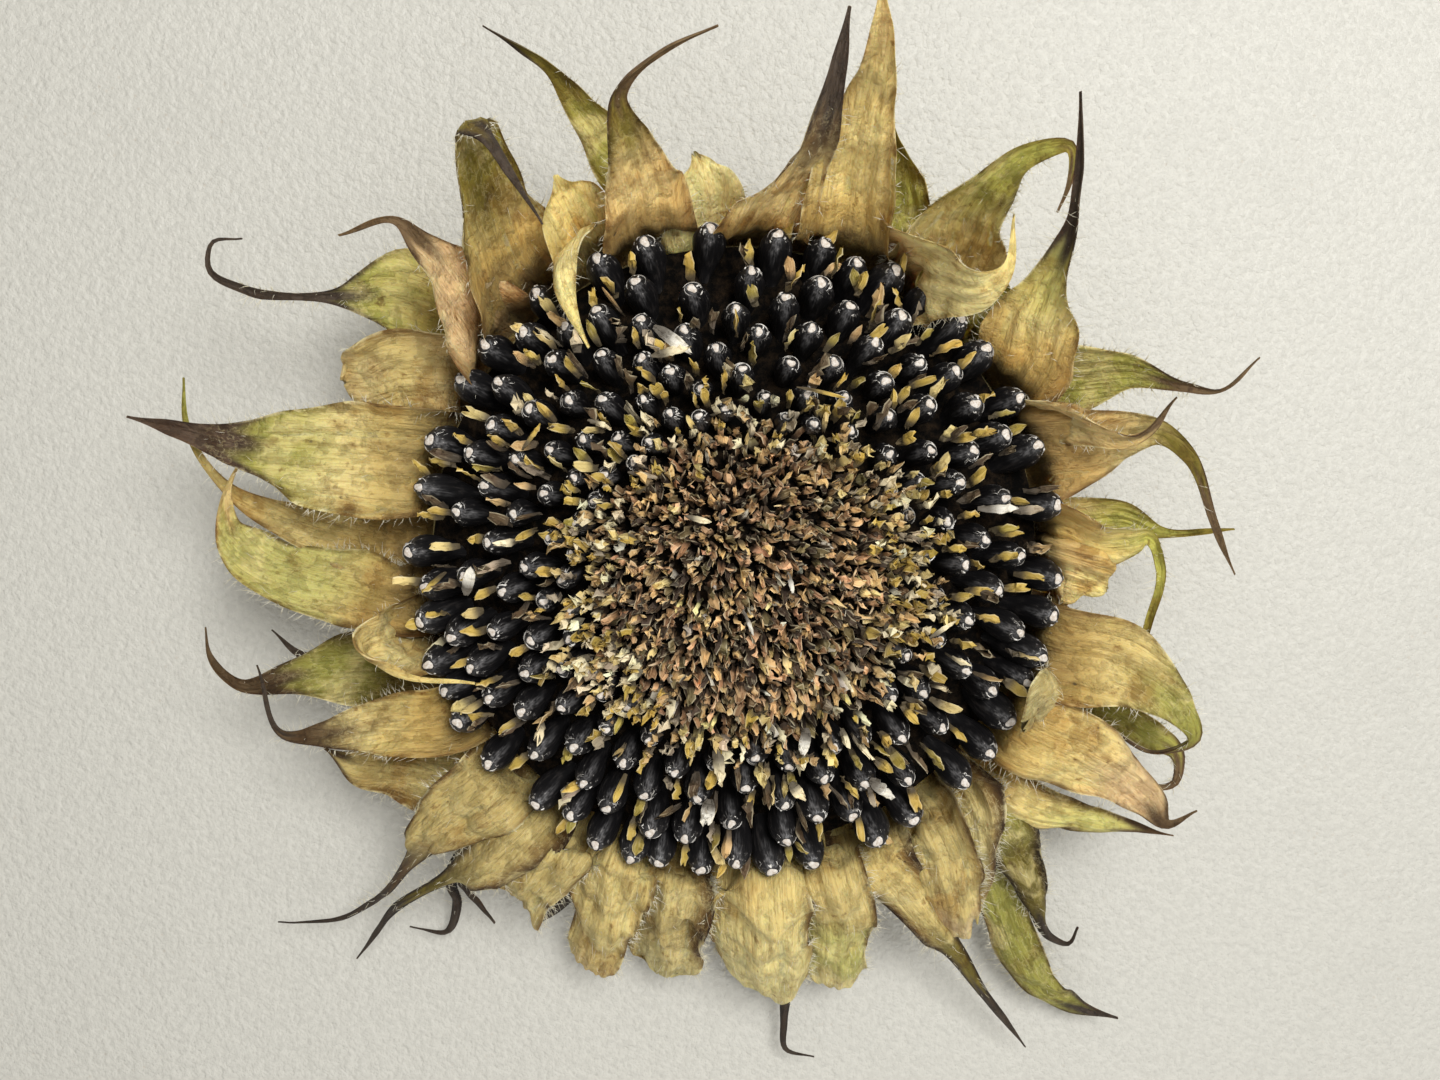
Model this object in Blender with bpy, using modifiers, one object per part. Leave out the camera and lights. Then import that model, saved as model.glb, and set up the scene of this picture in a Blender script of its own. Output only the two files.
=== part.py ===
"""Dried sunflower seed head, lying on its cut stem with the seeds up. Metres, +Z up, -Y to the front."""

import math
import random

import bmesh
import bpy
from mathutils import Matrix, Vector, geometry

MM = 0.001
TURN_STEPS = 40
GOLDEN_ANGLE = math.pi * (3 - math.sqrt(5))
GAP = 0.3

# receptacle, the woody plate that carries everything
PLATE_RADIUS = 52.2
PLATE_TOP = 22.6
STEM_RADIUS = 12.5
STEM_SIDES = 10

# space kept clear for the seeds
SEED_SPACE_RADIUS = 50.8
SEED_SPACE_BRIM = 54.0

# bracts
BLADE_THICK = 0.95
BLADE_CUP = 0.13
BLADE_STEP = 10.0
INNER = ((45.0, 14.5), (52.6, 20.0))
MIDDLE = ((43.0, 13.0), (52.2, 17.0))
OUTER = ((39.5, 10.5), (50.5, 12.5))

# seeds and florets
SEED_ROOT_RADII = (20.0, 47.6)
SEED_BED_RADIUS = 50.0
SEED_PITCH = (4.9, 7.3)
SEED_FILL = 0.8
SEED_FLATNESS = 0.86
SEED_SIDES = 5
SEED_SHOWN = (4.6, 7.2)
SEED_TILT = (8, 43)
CHAFF_SHARE = 0.45
FLORET_CENTRE = (2.0, -4.0)
FLORET_RADIUS = 23.6
FLORET_COUNT = 270
FLORET_RISE = 2.6
FLORET_TOP = 38.8

# where each bract grows, then (radius, azimuth, height, width) along it, in mm and degrees
BRACTS = {
    "top_tall": (INNER, (55, 71, 33, 15), (61, 73, 41, 13), (68, 74, 51, 8.6), (74, 75, 61, 4), (80, 77, 71, 1.3)),
    "top_brown": (INNER, (55, 86, 32, 16), (59, 83, 40, 12), (64, 80, 48, 7), (70, 79, 56, 3), (79, 79, 60, 1.6)),
    "top_strap": (MIDDLE, (57, 101, 24, 13), (65, 105, 30, 10), (73, 108, 36, 6), (80, 110, 40, 2.7), (89, 115, 43, 1.2)),
    "top_lobe": (MIDDLE, (57, 95, 24, 15), (61, 95, 29, 11), (65, 96, 31, 4)),
    "top_hook": (INNER, (55, 105, 33, 16), (59, 104, 41, 12), (64, 104, 50, 6.3), (69, 104, 57, 2.5), (72, 99, 61, 1.3), (75, 92, 60, 1.2)),
    "fold_back": (INNER, (58, 128, 31, 19), (66, 125, 41, 14), (72, 122, 50, 9.5), (75, 120, 56, 6), (70, 119, 59, 3), (64, 119, 57, 1.7), (57, 119, 53, 1.2)),
    "fold_lobe": (INNER, (56, 115, 32, 15), (61, 115, 38, 11), (65, 115, 41, 4)),
    "pink": (INNER, (57, 137, 33, 16), (62, 135, 41, 11), (67, 134, 46, 4.5), (71, 134, 48, 1.6), (77, 140, 46, 1.2)),
    "curl_in": (INNER, (56, 117, 38, 7), (51, 121, 44, 4), (45, 123, 43.5, 1.6), (40, 124, 42.5, 1.2)),
    "left_green": (OUTER, (63, 140, 21, 16), (71, 142, 26, 13), (78, 147, 29, 2.6), (90, 151, 30, 1.8), (97, 151, 30, 1.3), (98, 149, 31, 1.2), (94, 147, 32, 1.2)),
    "left_folded": (MIDDLE, (57, 147, 28, 12), (63, 151, 30, 12), (68, 155, 29, 7), (71, 156, 28, 1.5)),
    "left_big": (MIDDLE, (56, 163, 28, 18), (65, 165, 30, 17.5), (73, 166, 31, 14), (81, 167, 31, 8), (89, 167, 31, 4), (102, 167, 30, 1.2)),
    "left_tail": (OUTER, (57, 179, 21, 15), (65, 178, 24, 11.5), (74, 176, 25, 7), (85, 173, 26, 2.3), (93, 167, 28, 1.2), (95, 162, 29, 1.2)),
    "left_boat": (MIDDLE, (57, 188, 27, 12), (65, 185, 27, 12.5), (73, 183, 27, 11), (81, 180, 26, 8.5), (85, 177, 26, 4.5), (85, 173, 28, 1.5), (83, 169, 29, 1.2)),
    "left_hook": (OUTER, (60, 200, 20, 14), (70, 197, 22, 12), (78, 196, 23, 6.5), (89, 195, 23, 2), (92, 191, 24, 1.3), (91, 188, 25, 1.2)),
    "left_spike": (OUTER, (62, 195, 13, 9), (73, 196, 12, 5.4), (80, 194, 14, 1.6), (83, 190, 17, 1.2)),
    "flap_in": (INNER, (57, 194, 34, 12), (60, 194, 40, 8), (56, 198, 43, 2.6), (45, 205, 42, 1.2)),
    "left_low": (MIDDLE, (57, 210, 27, 12), (67, 206, 27, 9), (76, 204, 27, 4.2), (83, 202, 26, 1.4), (82, 193, 29, 1.2)),
    "left_round": (OUTER, (64, 219, 20, 13), (71, 213, 20, 10), (77, 210, 19, 6), (81, 206, 18, 1.4)),
    "front_left_long": (INNER, (57, 224, 32, 15), (65, 223, 30, 13.5), (73, 223, 26, 7), (81, 224, 20, 2.5), (91, 225, 14, 1.5), (102, 224, 9, 1.2), (113, 220, 6, 1.2)),
    "front_left_mid": (INNER, (57, 232, 32, 15), (67, 231, 28, 11), (77, 229, 22, 3.5), (92, 227, 13, 1.6), (107, 228, 6, 1.2)),
    "front_left_thin": (MIDDLE, (62, 231, 25, 10), (70, 230, 21, 7), (77, 229, 17, 2.5), (85, 238, 7, 1.2)),
    "front_left_hook": (OUTER, (72, 230, 15, 7), (82, 230, 11, 2.4), (87, 233, 7, 1.7), (93, 234, 5, 1.4), (96, 230, 5, 1.2)),
    "front_left_round": (INNER, (57, 238, 32, 16), (65, 238, 27, 14), (72, 238, 20, 8), (77, 239, 14, 2.2)),
    "front_dark_hook": (OUTER, (64, 245, 15, 8), (74, 245, 9, 2.3), (82, 243, 5, 1.2)),
    "front_point": (INNER, (56, 249, 32, 16), (65, 250, 27, 14), (76, 251, 18, 6.5), (84, 251, 12, 1.3)),
    "front_lobe": (INNER, (56, 259, 31, 15), (67, 259, 25, 15.5), (77, 260, 17, 10), (82, 260, 12, 3)),
    "front_wide": (INNER, (56, 274, 32, 18), (65, 274, 28, 18.5), (76, 274, 20, 15), (84, 274, 13, 9)),
    "front_tail": (OUTER, (71, 279, 14, 6.5), (84, 277, 9, 2.6), (93, 276, 6, 1.5), (99, 276, 5, 1.2), (101, 279, 5, 1.2)),
    "front_right_lobe": (INNER, (57, 286, 32, 14), (66, 286, 27, 13), (76, 284, 19, 9), (85, 283, 12, 3)),
    "front_right_tail": (INNER, (57, 295, 32, 14), (65, 297, 30, 10), (75, 298, 25, 6.5), (85, 299, 19, 4), (93, 299, 14, 2.3), (113, 300, 5, 1.2)),
    "right_lobe": (INNER, (58, 304, 32, 15), (67, 302, 29, 14), (76, 300, 23, 8), (81, 299, 17, 2.5)),
    "right_side": (INNER, (58, 312, 32, 13), (64, 309, 30, 9), (73, 306, 24, 5), (81, 303, 18, 1.4)),
    "right_green_strap": (OUTER, (71, 309, 14, 10), (82, 307, 12, 8.5), (93, 305, 10, 8), (103, 305, 8, 6), (112, 307, 6, 3), (117, 309, 7, 1.2)),
    "right_green_hook": (MIDDLE, (68, 314, 24, 11), (78, 312, 20, 7.5), (87, 310, 15, 3.6), (95, 309, 11, 1.5), (98, 310, 10, 1.2), (96, 312, 11, 1.2)),
    "right_low": (INNER, (57, 329, 32, 15), (66, 330, 31, 14), (74, 330, 29, 10), (82, 329, 27, 5.8), (88, 328, 26, 2), (90, 331, 28, 1.2)),
    "right_lower": (MIDDLE, (60, 318, 27, 14), (68, 319, 26, 10), (76, 322, 25, 7), (86, 325, 22, 3.2), (92, 327, 22, 1.2)),
    "right_curl": (INNER, (56, 343, 31, 16), (63, 344, 32, 14.5), (71, 343, 32, 10), (77, 341, 31, 5.7), (82, 338, 30, 2.7), (79, 335, 28, 1.3), (70, 335, 27, 1.2)),
    "right_green_curl": (OUTER, (65, 337, 19, 9), (72, 337, 20, 6), (80, 336, 19, 5.3), (87, 335, 18, 2.6), (89, 332, 18, 1.4), (83, 330, 19, 1.2), (76, 333, 20, 1.2)),
    "right_cut": (INNER, (57, 337, 35, 7), (54, 335, 41, 7), (52, 331, 43, 6)),
    "right_plain": (INNER, (55, 357, 31, 13), (59, 356, 31, 11), (62, 355, 29, 6)),
    "right_boat": (INNER, (55, 5, 32, 9), (59, 3, 33, 9.5), (63, 3, 34, 7), (67, 3, 34, 2.6), (69, 359, 34, 1.7), (69, 351, 32, 1.3), (69, 345, 31, 1.2)),
    "right_thin": (OUTER, (60, 5, 23, 8), (66, 5, 25, 6), (71, 3, 27, 2.2), (83, 3, 29, 1.2)),
    "right_long": (INNER, (55, 19, 31, 16), (60, 18, 33, 14), (65, 18, 35, 8.5), (70, 17, 36, 4), (74, 13, 36, 2.5), (77, 5, 34, 1.5), (82, 358, 32, 1.2)),
    "right_small": (INNER, (56, 23, 35, 9), (60, 20, 39, 5.3), (65, 18, 41, 2.6), (72, 21, 43, 1.2)),
    "right_green": (OUTER, (62, 29, 20, 13), (67, 27, 23, 12), (73, 25, 25, 6.5), (79, 21, 28, 2), (84, 19, 29, 1.2), (91, 21, 31, 1.2)),
    "top_right_dark": (INNER, (55, 33, 32, 14), (60, 38, 38, 12.5), (65, 42, 44, 6.3), (70, 46, 52, 2.3), (76, 51, 57, 1.3), (81, 55, 60, 1.2)),
    "top_right_lean": (INNER, (55, 57, 35, 17), (55, 53, 41, 12), (56, 49, 45, 7), (59, 48, 48, 2.4), (66, 52, 48, 1.2)),
    "top_right_nod": (MIDDLE, (60, 54, 27, 18), (65, 56, 35, 12), (69, 56, 43, 7), (74, 55, 48, 3.6), (78, 52, 50, 1.7), (74, 49, 47, 1.2), (71, 48, 46, 1.2)),
    "top_right_sliver": (MIDDLE, (58, 41, 27, 9), (60, 44, 33, 5), (62, 48, 36, 1.3)),
    "top_right_green": (OUTER, (61, 62, 19, 11), (66, 65, 26, 7), (70, 68, 31, 3.8), (74, 71, 35, 1.2)),
}


def mix(pair, share):
    return pair[0] + (pair[1] - pair[0]) * share


def clear_scene():
    for obj in list(bpy.data.objects):
        bpy.data.objects.remove(obj, do_unlink=True)


def new_collection(name, helper=False):
    made = bpy.data.collections.new(name)
    bpy.context.scene.collection.children.link(made)
    made.hide_render = helper
    return made


def finish(name):
    """A plain Principled colour for each piece, by its name."""
    looks = {
        "receptacle_and_bracts": ((0.52, 0.41, 0.19, 1), 0.7),
        "seeds": ((0.02, 0.018, 0.017, 1), 0.35),
        "florets": ((0.2, 0.1, 0.05, 1), 0.85),
    }
    colour, rough = looks[name]
    material = bpy.data.materials.new(name)
    material.use_nodes = True
    shader = material.node_tree.nodes["Principled BSDF"]
    shader.inputs["Base Color"].default_value = colour
    shader.inputs["Roughness"].default_value = rough
    return material


def add_mesh(name, bm, collection):
    bmesh.ops.scale(bm, vec=(MM, MM, MM), verts=bm.verts)
    bmesh.ops.recalc_face_normals(bm, faces=bm.faces)
    mesh = bpy.data.meshes.new(name)
    bm.to_mesh(mesh)
    bm.free()
    obj = bpy.data.objects.new(name, mesh)
    collection.objects.link(obj)
    return obj


def apply_modifiers(obj):
    with bpy.context.temp_override(object=obj, active_object=obj, selected_objects=[obj]):
        for modifier in list(obj.modifiers):
            bpy.ops.object.modifier_apply(modifier=modifier.name)
    return obj


def turned(name, profile, collection):
    """A solid of revolution from (radius, height) points, down its outer side."""
    bm = bmesh.new()
    line = [bm.verts.new((r, 0, z)) for r, z in profile]
    for upper, lower in zip(line, line[1:]):
        bm.edges.new((upper, lower))
    bmesh.ops.scale(bm, vec=(MM, MM, MM), verts=bm.verts)
    mesh = bpy.data.meshes.new(name)
    bm.to_mesh(mesh)
    bm.free()
    obj = bpy.data.objects.new(name, mesh)
    collection.objects.link(obj)
    screw = obj.modifiers.new("turn", "SCREW")
    screw.axis = "Z"
    screw.steps = screw.render_steps = TURN_STEPS
    screw.use_merge_vertices = True
    screw.merge_threshold = 0.00001
    return apply_modifiers(obj)


def join(body, collection, operation="UNION"):
    """Fuses the collection's solids with the body, or cuts them from it, and removes them."""
    boolean = body.modifiers.new("join", "BOOLEAN")
    boolean.operation = operation
    boolean.operand_type = "COLLECTION"
    boolean.collection = collection
    boolean.solver = "MANIFOLD"
    apply_modifiers(body)
    for obj in list(collection.objects):
        bpy.data.objects.remove(obj, do_unlink=True)
    return body


def shells_of(bm):
    """The faces of each closed surface in the mesh."""
    left = set(bm.faces)
    while left:
        shell, edge_of_shell = set(), [left.pop()]
        while edge_of_shell:
            face = edge_of_shell.pop()
            shell.add(face)
            near = {other for edge in face.edges for other in edge.link_faces} & left
            left -= near
            edge_of_shell.extend(near)
        yield shell


def fill_pockets(obj):
    """Makes the solid whole where overlapping bracts closed off a small space between them."""
    bm = bmesh.new()
    bm.from_mesh(obj.data)
    bmesh.ops.triangulate(bm, faces=bm.faces)
    for shell in list(shells_of(bm)):
        volume = sum(
            face.verts[0].co.dot(face.verts[1].co.cross(face.verts[2].co)) for face in shell
        )
        if volume < 0:
            bmesh.ops.delete(bm, geom=list(shell), context="FACES")
    bm.to_mesh(obj.data)
    bm.free()
    return obj


def hermite(a, b, slope_a, slope_b, span, t):
    t2, t3 = t * t, t * t * t
    return (
        a * (2 * t3 - 3 * t2 + 1)
        + slope_a * (t3 - 2 * t2 + t) * span
        + b * (3 * t2 - 2 * t3)
        + slope_b * (t3 - t2) * span
    )


def smooth_path(points):
    """Rows along a smooth curve through (x, y, z, width) points, closer together where it is short."""
    spans = [(b - a).to_3d().length for a, b in zip(points, points[1:])]
    slopes = []
    for i, point in enumerate(points):
        before = (point - points[i - 1]) / spans[i - 1] if i else None
        after = (points[i + 1] - point) / spans[i] if i < len(spans) else None
        if before and after:
            slopes.append((before * spans[i] + after * spans[i - 1]) / (spans[i] + spans[i - 1]))
        else:
            slopes.append(before or after)
    rows = [points[0]]
    for i, span in enumerate(spans):
        steps = max(1, round(span / BLADE_STEP))
        for k in range(1, steps + 1):
            rows.append(hermite(points[i], points[i + 1], slopes[i], slopes[i + 1], span, k / steps))
    return rows


def polar(radius, azimuth, height, width):
    angle = math.radians(azimuth)
    return Vector((radius * math.cos(angle), radius * math.sin(angle), height, width))


def bract_points(growth, stations):
    azimuth, width = stations[0][1], stations[0][3]
    roots = [polar(r, azimuth, z, width * share) for (r, z), share in zip(growth, (0.8, 0.95))]
    return roots + [polar(*station) for station in stations]


def add_bract(name, growth, stations, collection, rng):
    rows = smooth_path(bract_points(growth, stations))
    bm = bmesh.new()
    bmesh.ops.create_grid(bm, x_segments=2, y_segments=len(rows) - 1, size=1)
    side = Vector((-rows[0].y, rows[0].x, 0)).normalized()
    frames = []
    for i, row in enumerate(rows):
        along = (rows[min(i + 1, len(rows) - 1)] - rows[max(i - 1, 0)]).to_3d().normalized()
        side = (side - along * side.dot(along)).normalized()
        frames.append((row.to_3d(), side.copy(), along.cross(side), row.w))
    for vert in bm.verts:
        across = round(vert.co.x)
        centre, side, up, width = frames[round((vert.co.y + 1) / 2 * (len(rows) - 1))]
        wave = rng.uniform(-0.06, 0.06) * width * abs(across)
        vert.co = centre + side * across * width / 2 + up * (BLADE_CUP * width * abs(across) + wave)
    bmesh.ops.triangulate(bm, faces=bm.faces)
    obj = add_mesh(name, bm, collection)
    solid = obj.modifiers.new("thick", "SOLIDIFY")
    solid.thickness = BLADE_THICK * MM
    solid.offset = 0
    return apply_modifiers(obj)


def add_stem_stub(collection):
    """The short cut stem under the plate. Its flat end is what the head rests on."""
    bm = bmesh.new()
    height = 8
    bmesh.ops.create_cone(
        bm, cap_ends=True, segments=STEM_SIDES, radius1=STEM_RADIUS, radius2=STEM_RADIUS + 3, depth=height
    )
    bmesh.ops.translate(bm, vec=(0, 0, height / 2), verts=bm.verts)
    return add_mesh("stem_stub", bm, collection)


def receptacle_and_bracts(collection, helpers):
    plate = [
        (0, 25), (46, 25), (PLATE_RADIUS, 23), (51.8, 19), (48.5, 14), (42, 9.8), (32, 7.4), (22, 5.8), (0, 5),
    ]
    body = turned("receptacle_and_bracts", plate, collection)
    rng = random.Random(11)
    for name, (growth, *stations) in BRACTS.items():
        add_bract(name, growth, stations, helpers, rng)
    add_stem_stub(helpers)
    join(body, helpers)
    clear = [
        (0, 46), (40, 41.6), (50, 38.6), (SEED_SPACE_BRIM, 35.5), (SEED_SPACE_BRIM, 31.5),
        (51.4, 27), (SEED_SPACE_RADIUS, PLATE_TOP), (0, PLATE_TOP),
    ]
    turned("seed_space", clear, helpers)
    return fill_pockets(join(body, helpers, "DIFFERENCE"))


def face_height(radius):
    """The domed face that the seed tips lie on."""
    return 41.5 - 6.2 * (radius / 51) ** 2.3


def seed_share(radius):
    return min(max((radius - SEED_ROOT_RADII[0]) / (SEED_ROOT_RADII[1] - SEED_ROOT_RADII[0]), 0), 1)


def above_bed(spot, height):
    """The point this high above the bed, along the outward lean that the seeds have there."""
    radius = spot.length
    share = seed_share(radius)
    lean, shown = math.radians(mix(SEED_TILT, share)), mix(SEED_SHOWN, share)
    bed = face_height(radius + shown * math.sin(lean)) - shown * math.cos(lean)
    outwards = spot.normalized() * (radius + height * math.sin(lean))
    return Vector((outwards.x, outwards.y, bed + height * math.cos(lean)))


def seed_centres(rng):
    """Golden-angle spots whose pitch grows outwards, left out where the florets are."""
    radius, last = SEED_ROOT_RADII
    index = 0
    while radius < last:
        angle = index * GOLDEN_ANGLE + rng.uniform(-0.02, 0.02)
        spot = Vector((radius * math.cos(angle), radius * math.sin(angle)))
        if (spot - Vector(FLORET_CENTRE)).length > FLORET_RADIUS + 2.2:
            yield spot
        radius += 0.866 * mix(SEED_PITCH, seed_share(radius)) ** 2 / (2 * math.pi * radius)
        index += 1


def circle(radius, count, centre=(0, 0)):
    turns = [k * math.tau / count for k in range(count)]
    return [Vector(centre) + Vector((math.cos(t), math.sin(t))) * radius for t in turns]


def relief(spots, place):
    """A surface over flat (spot, height) points, with each point moved to place(spot, height)."""
    flat = [spot for spot, _ in spots]
    points, _, faces, origins, *_ = geometry.delaunay_2d_cdt(flat, [], [], 0, 1e-4)
    bm = bmesh.new()
    verts = [
        bm.verts.new(place(point, spots[origin[0]][1])) for point, origin in zip(points, origins)
    ]
    for face in faces:
        bm.faces.new([verts[k] for k in face])
    return bm


def close_below(bm, height):
    """Walls from the open edge down to a flat bottom."""
    open_edges = [edge for edge in bm.edges if edge.is_boundary]
    walls = bmesh.ops.extrude_edge_only(bm, edges=open_edges)["geom"]
    for vert in walls:
        if isinstance(vert, bmesh.types.BMVert):
            vert.co.z = height
    bmesh.ops.contextual_create(bm, geom=[e for e in walls if isinstance(e, bmesh.types.BMEdge)])
    return bm


def seed_top(centre, rng):
    """The (spot, height) points of one blunt, flattened seed."""
    share = seed_share(centre.length)
    shown = mix(SEED_SHOWN, share) * rng.uniform(0.92, 1.05)
    half = mix(SEED_PITCH, share) * SEED_FILL / 2
    outward = centre.normalized()
    sideways = Vector((-outward.y, outward.x))
    turn = rng.uniform(0, math.tau / SEED_SIDES)
    for k in range(SEED_SIDES):
        angle = turn + k * math.tau / SEED_SIDES
        arm = outward * math.cos(angle) * SEED_FLATNESS + sideways * math.sin(angle)
        yield centre + arm * half, shown * rng.uniform(0.66, 0.74)
    yield centre + outward * half * 0.2, shown


def seeds(collection, helpers):
    """The ring of seeds: a bump for each seed, a hollow between each three and chaff between some."""
    rng = random.Random(5)
    centres = list(seed_centres(rng))
    rim = circle(SEED_BED_RADIUS, TURN_STEPS)
    well = circle(FLORET_RADIUS - 0.8, 28, FLORET_CENTRE)
    points, edges, faces, *_ = geometry.delaunay_2d_cdt(centres + rim + well, [], [], 0, 1e-4)
    is_seed = [k < len(centres) for k in range(len(points))]
    spots = [(spot, -0.6) for spot in rim] + [(spot, 0.0) for spot in well]
    for face in faces:
        if any(is_seed[k] for k in face):
            middle = sum((points[k] for k in face), Vector((0, 0))) / 3
            spots.append((middle, rng.uniform(-0.3, 0.3)))
    for a, b in edges:
        if is_seed[a] and is_seed[b] and (points[a] - points[b]).length < 1.5 * SEED_PITCH[1]:
            middle = (points[a] + points[b]) / 2
            across = abs((points[a] - points[b]).normalized().dot(middle.normalized()))
            is_chaff = across < 0.6 and rng.random() < CHAFF_SHARE
            raised = mix(SEED_SHOWN, seed_share(middle.length)) * rng.uniform(0.8, 0.98)
            spots.append((middle, raised if is_chaff else 0.2))
    for centre in centres:
        spots.extend(seed_top(centre, rng))
    body = add_mesh("seeds", close_below(relief(spots, above_bed), PLATE_TOP + GAP), collection)
    bm = bmesh.new()
    hole = FLORET_RADIUS + GAP
    bmesh.ops.create_cone(
        bm, cap_ends=True, segments=TURN_STEPS, radius1=hole, radius2=hole, depth=40
    )
    bmesh.ops.translate(bm, vec=(*FLORET_CENTRE, 35), verts=bm.verts)
    add_mesh("floret_well", bm, helpers)
    return join(body, helpers, "DIFFERENCE")


def florets(collection):
    """The dense brown middle: one peak for each dried floret, with a hollow between each three."""
    rng = random.Random(8)
    peaks = []
    for i in range(FLORET_COUNT):
        radius = (FLORET_RADIUS - 1.1) * math.sqrt((i + 0.5) / FLORET_COUNT)
        angle = i * GOLDEN_ANGLE
        jitter = Vector((rng.uniform(-0.3, 0.3), rng.uniform(-0.3, 0.3)))
        peaks.append(Vector((radius * math.cos(angle), radius * math.sin(angle))) + jitter)
    rim = circle(FLORET_RADIUS - 0.1, TURN_STEPS)
    points, _, faces, *_ = geometry.delaunay_2d_cdt(rim + peaks, [], [], 0, 1e-4)
    hollows = [sum((points[k] for k in face), Vector((0, 0))) / 3 for face in faces]
    spots = [(spot, 0.0) for spot in rim + hollows]
    spots += [(spot, FLORET_RISE * rng.uniform(0.6, 1.2)) for spot in peaks]

    def place(spot, height):
        share = spot.length / FLORET_RADIUS
        lean = Vector((rng.uniform(-0.5, 0.5), rng.uniform(-0.5, 0.5))) * (height > 0 and share < 0.93)
        return Vector((*(spot + lean), FLORET_TOP - 3.0 * share**2 + height))

    bm = close_below(relief(spots, place), PLATE_TOP + GAP)
    bmesh.ops.translate(bm, vec=(*FLORET_CENTRE, 0), verts=bm.verts)
    return add_mesh("florets", bm, collection)


def main():
    clear_scene()
    head = new_collection("Sunflower seed head")
    helpers = new_collection("Helpers", helper=True)
    for obj in (receptacle_and_bracts(head, helpers), seeds(head, helpers), florets(head)):
        obj.data.materials.clear()
        obj.data.materials.append(finish(obj.name))
    bpy.data.collections.remove(helpers)


main()
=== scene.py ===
"""Dried sunflower seed head: ribbed bracts, black seeds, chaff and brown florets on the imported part."""

import math
import random

import bpy
import numpy as np
from bpy.props import FloatProperty, FloatVectorProperty, IntProperty, PointerProperty
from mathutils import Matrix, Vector, geometry


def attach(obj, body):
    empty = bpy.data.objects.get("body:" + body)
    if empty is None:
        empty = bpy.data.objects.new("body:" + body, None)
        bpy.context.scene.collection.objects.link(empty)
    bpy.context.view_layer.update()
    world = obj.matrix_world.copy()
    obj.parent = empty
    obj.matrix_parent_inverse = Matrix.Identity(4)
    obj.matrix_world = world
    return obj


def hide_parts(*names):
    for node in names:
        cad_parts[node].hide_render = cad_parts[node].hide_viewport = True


bl_info = {
    "name": "Sunflower seed head",
    "version": (1, 0, 0),
    "blender": (4, 5, 0),
    "location": "3D View > Sidebar > Seed head",
    "description": "Dresses a sunflower seed head with bracts, seeds, chaff and florets",
    "category": "Add Mesh",
}

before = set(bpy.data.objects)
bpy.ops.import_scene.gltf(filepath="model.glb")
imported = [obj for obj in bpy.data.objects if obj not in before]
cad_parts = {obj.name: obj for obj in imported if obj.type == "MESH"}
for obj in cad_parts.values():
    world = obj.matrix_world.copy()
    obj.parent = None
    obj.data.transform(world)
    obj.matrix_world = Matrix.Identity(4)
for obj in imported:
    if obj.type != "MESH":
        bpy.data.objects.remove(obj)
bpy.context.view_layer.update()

MM = 0.001
GOLDEN_ANGLE = math.pi * (3 - math.sqrt(5))
VECTORS = ("tint", "grain", "place")

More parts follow.
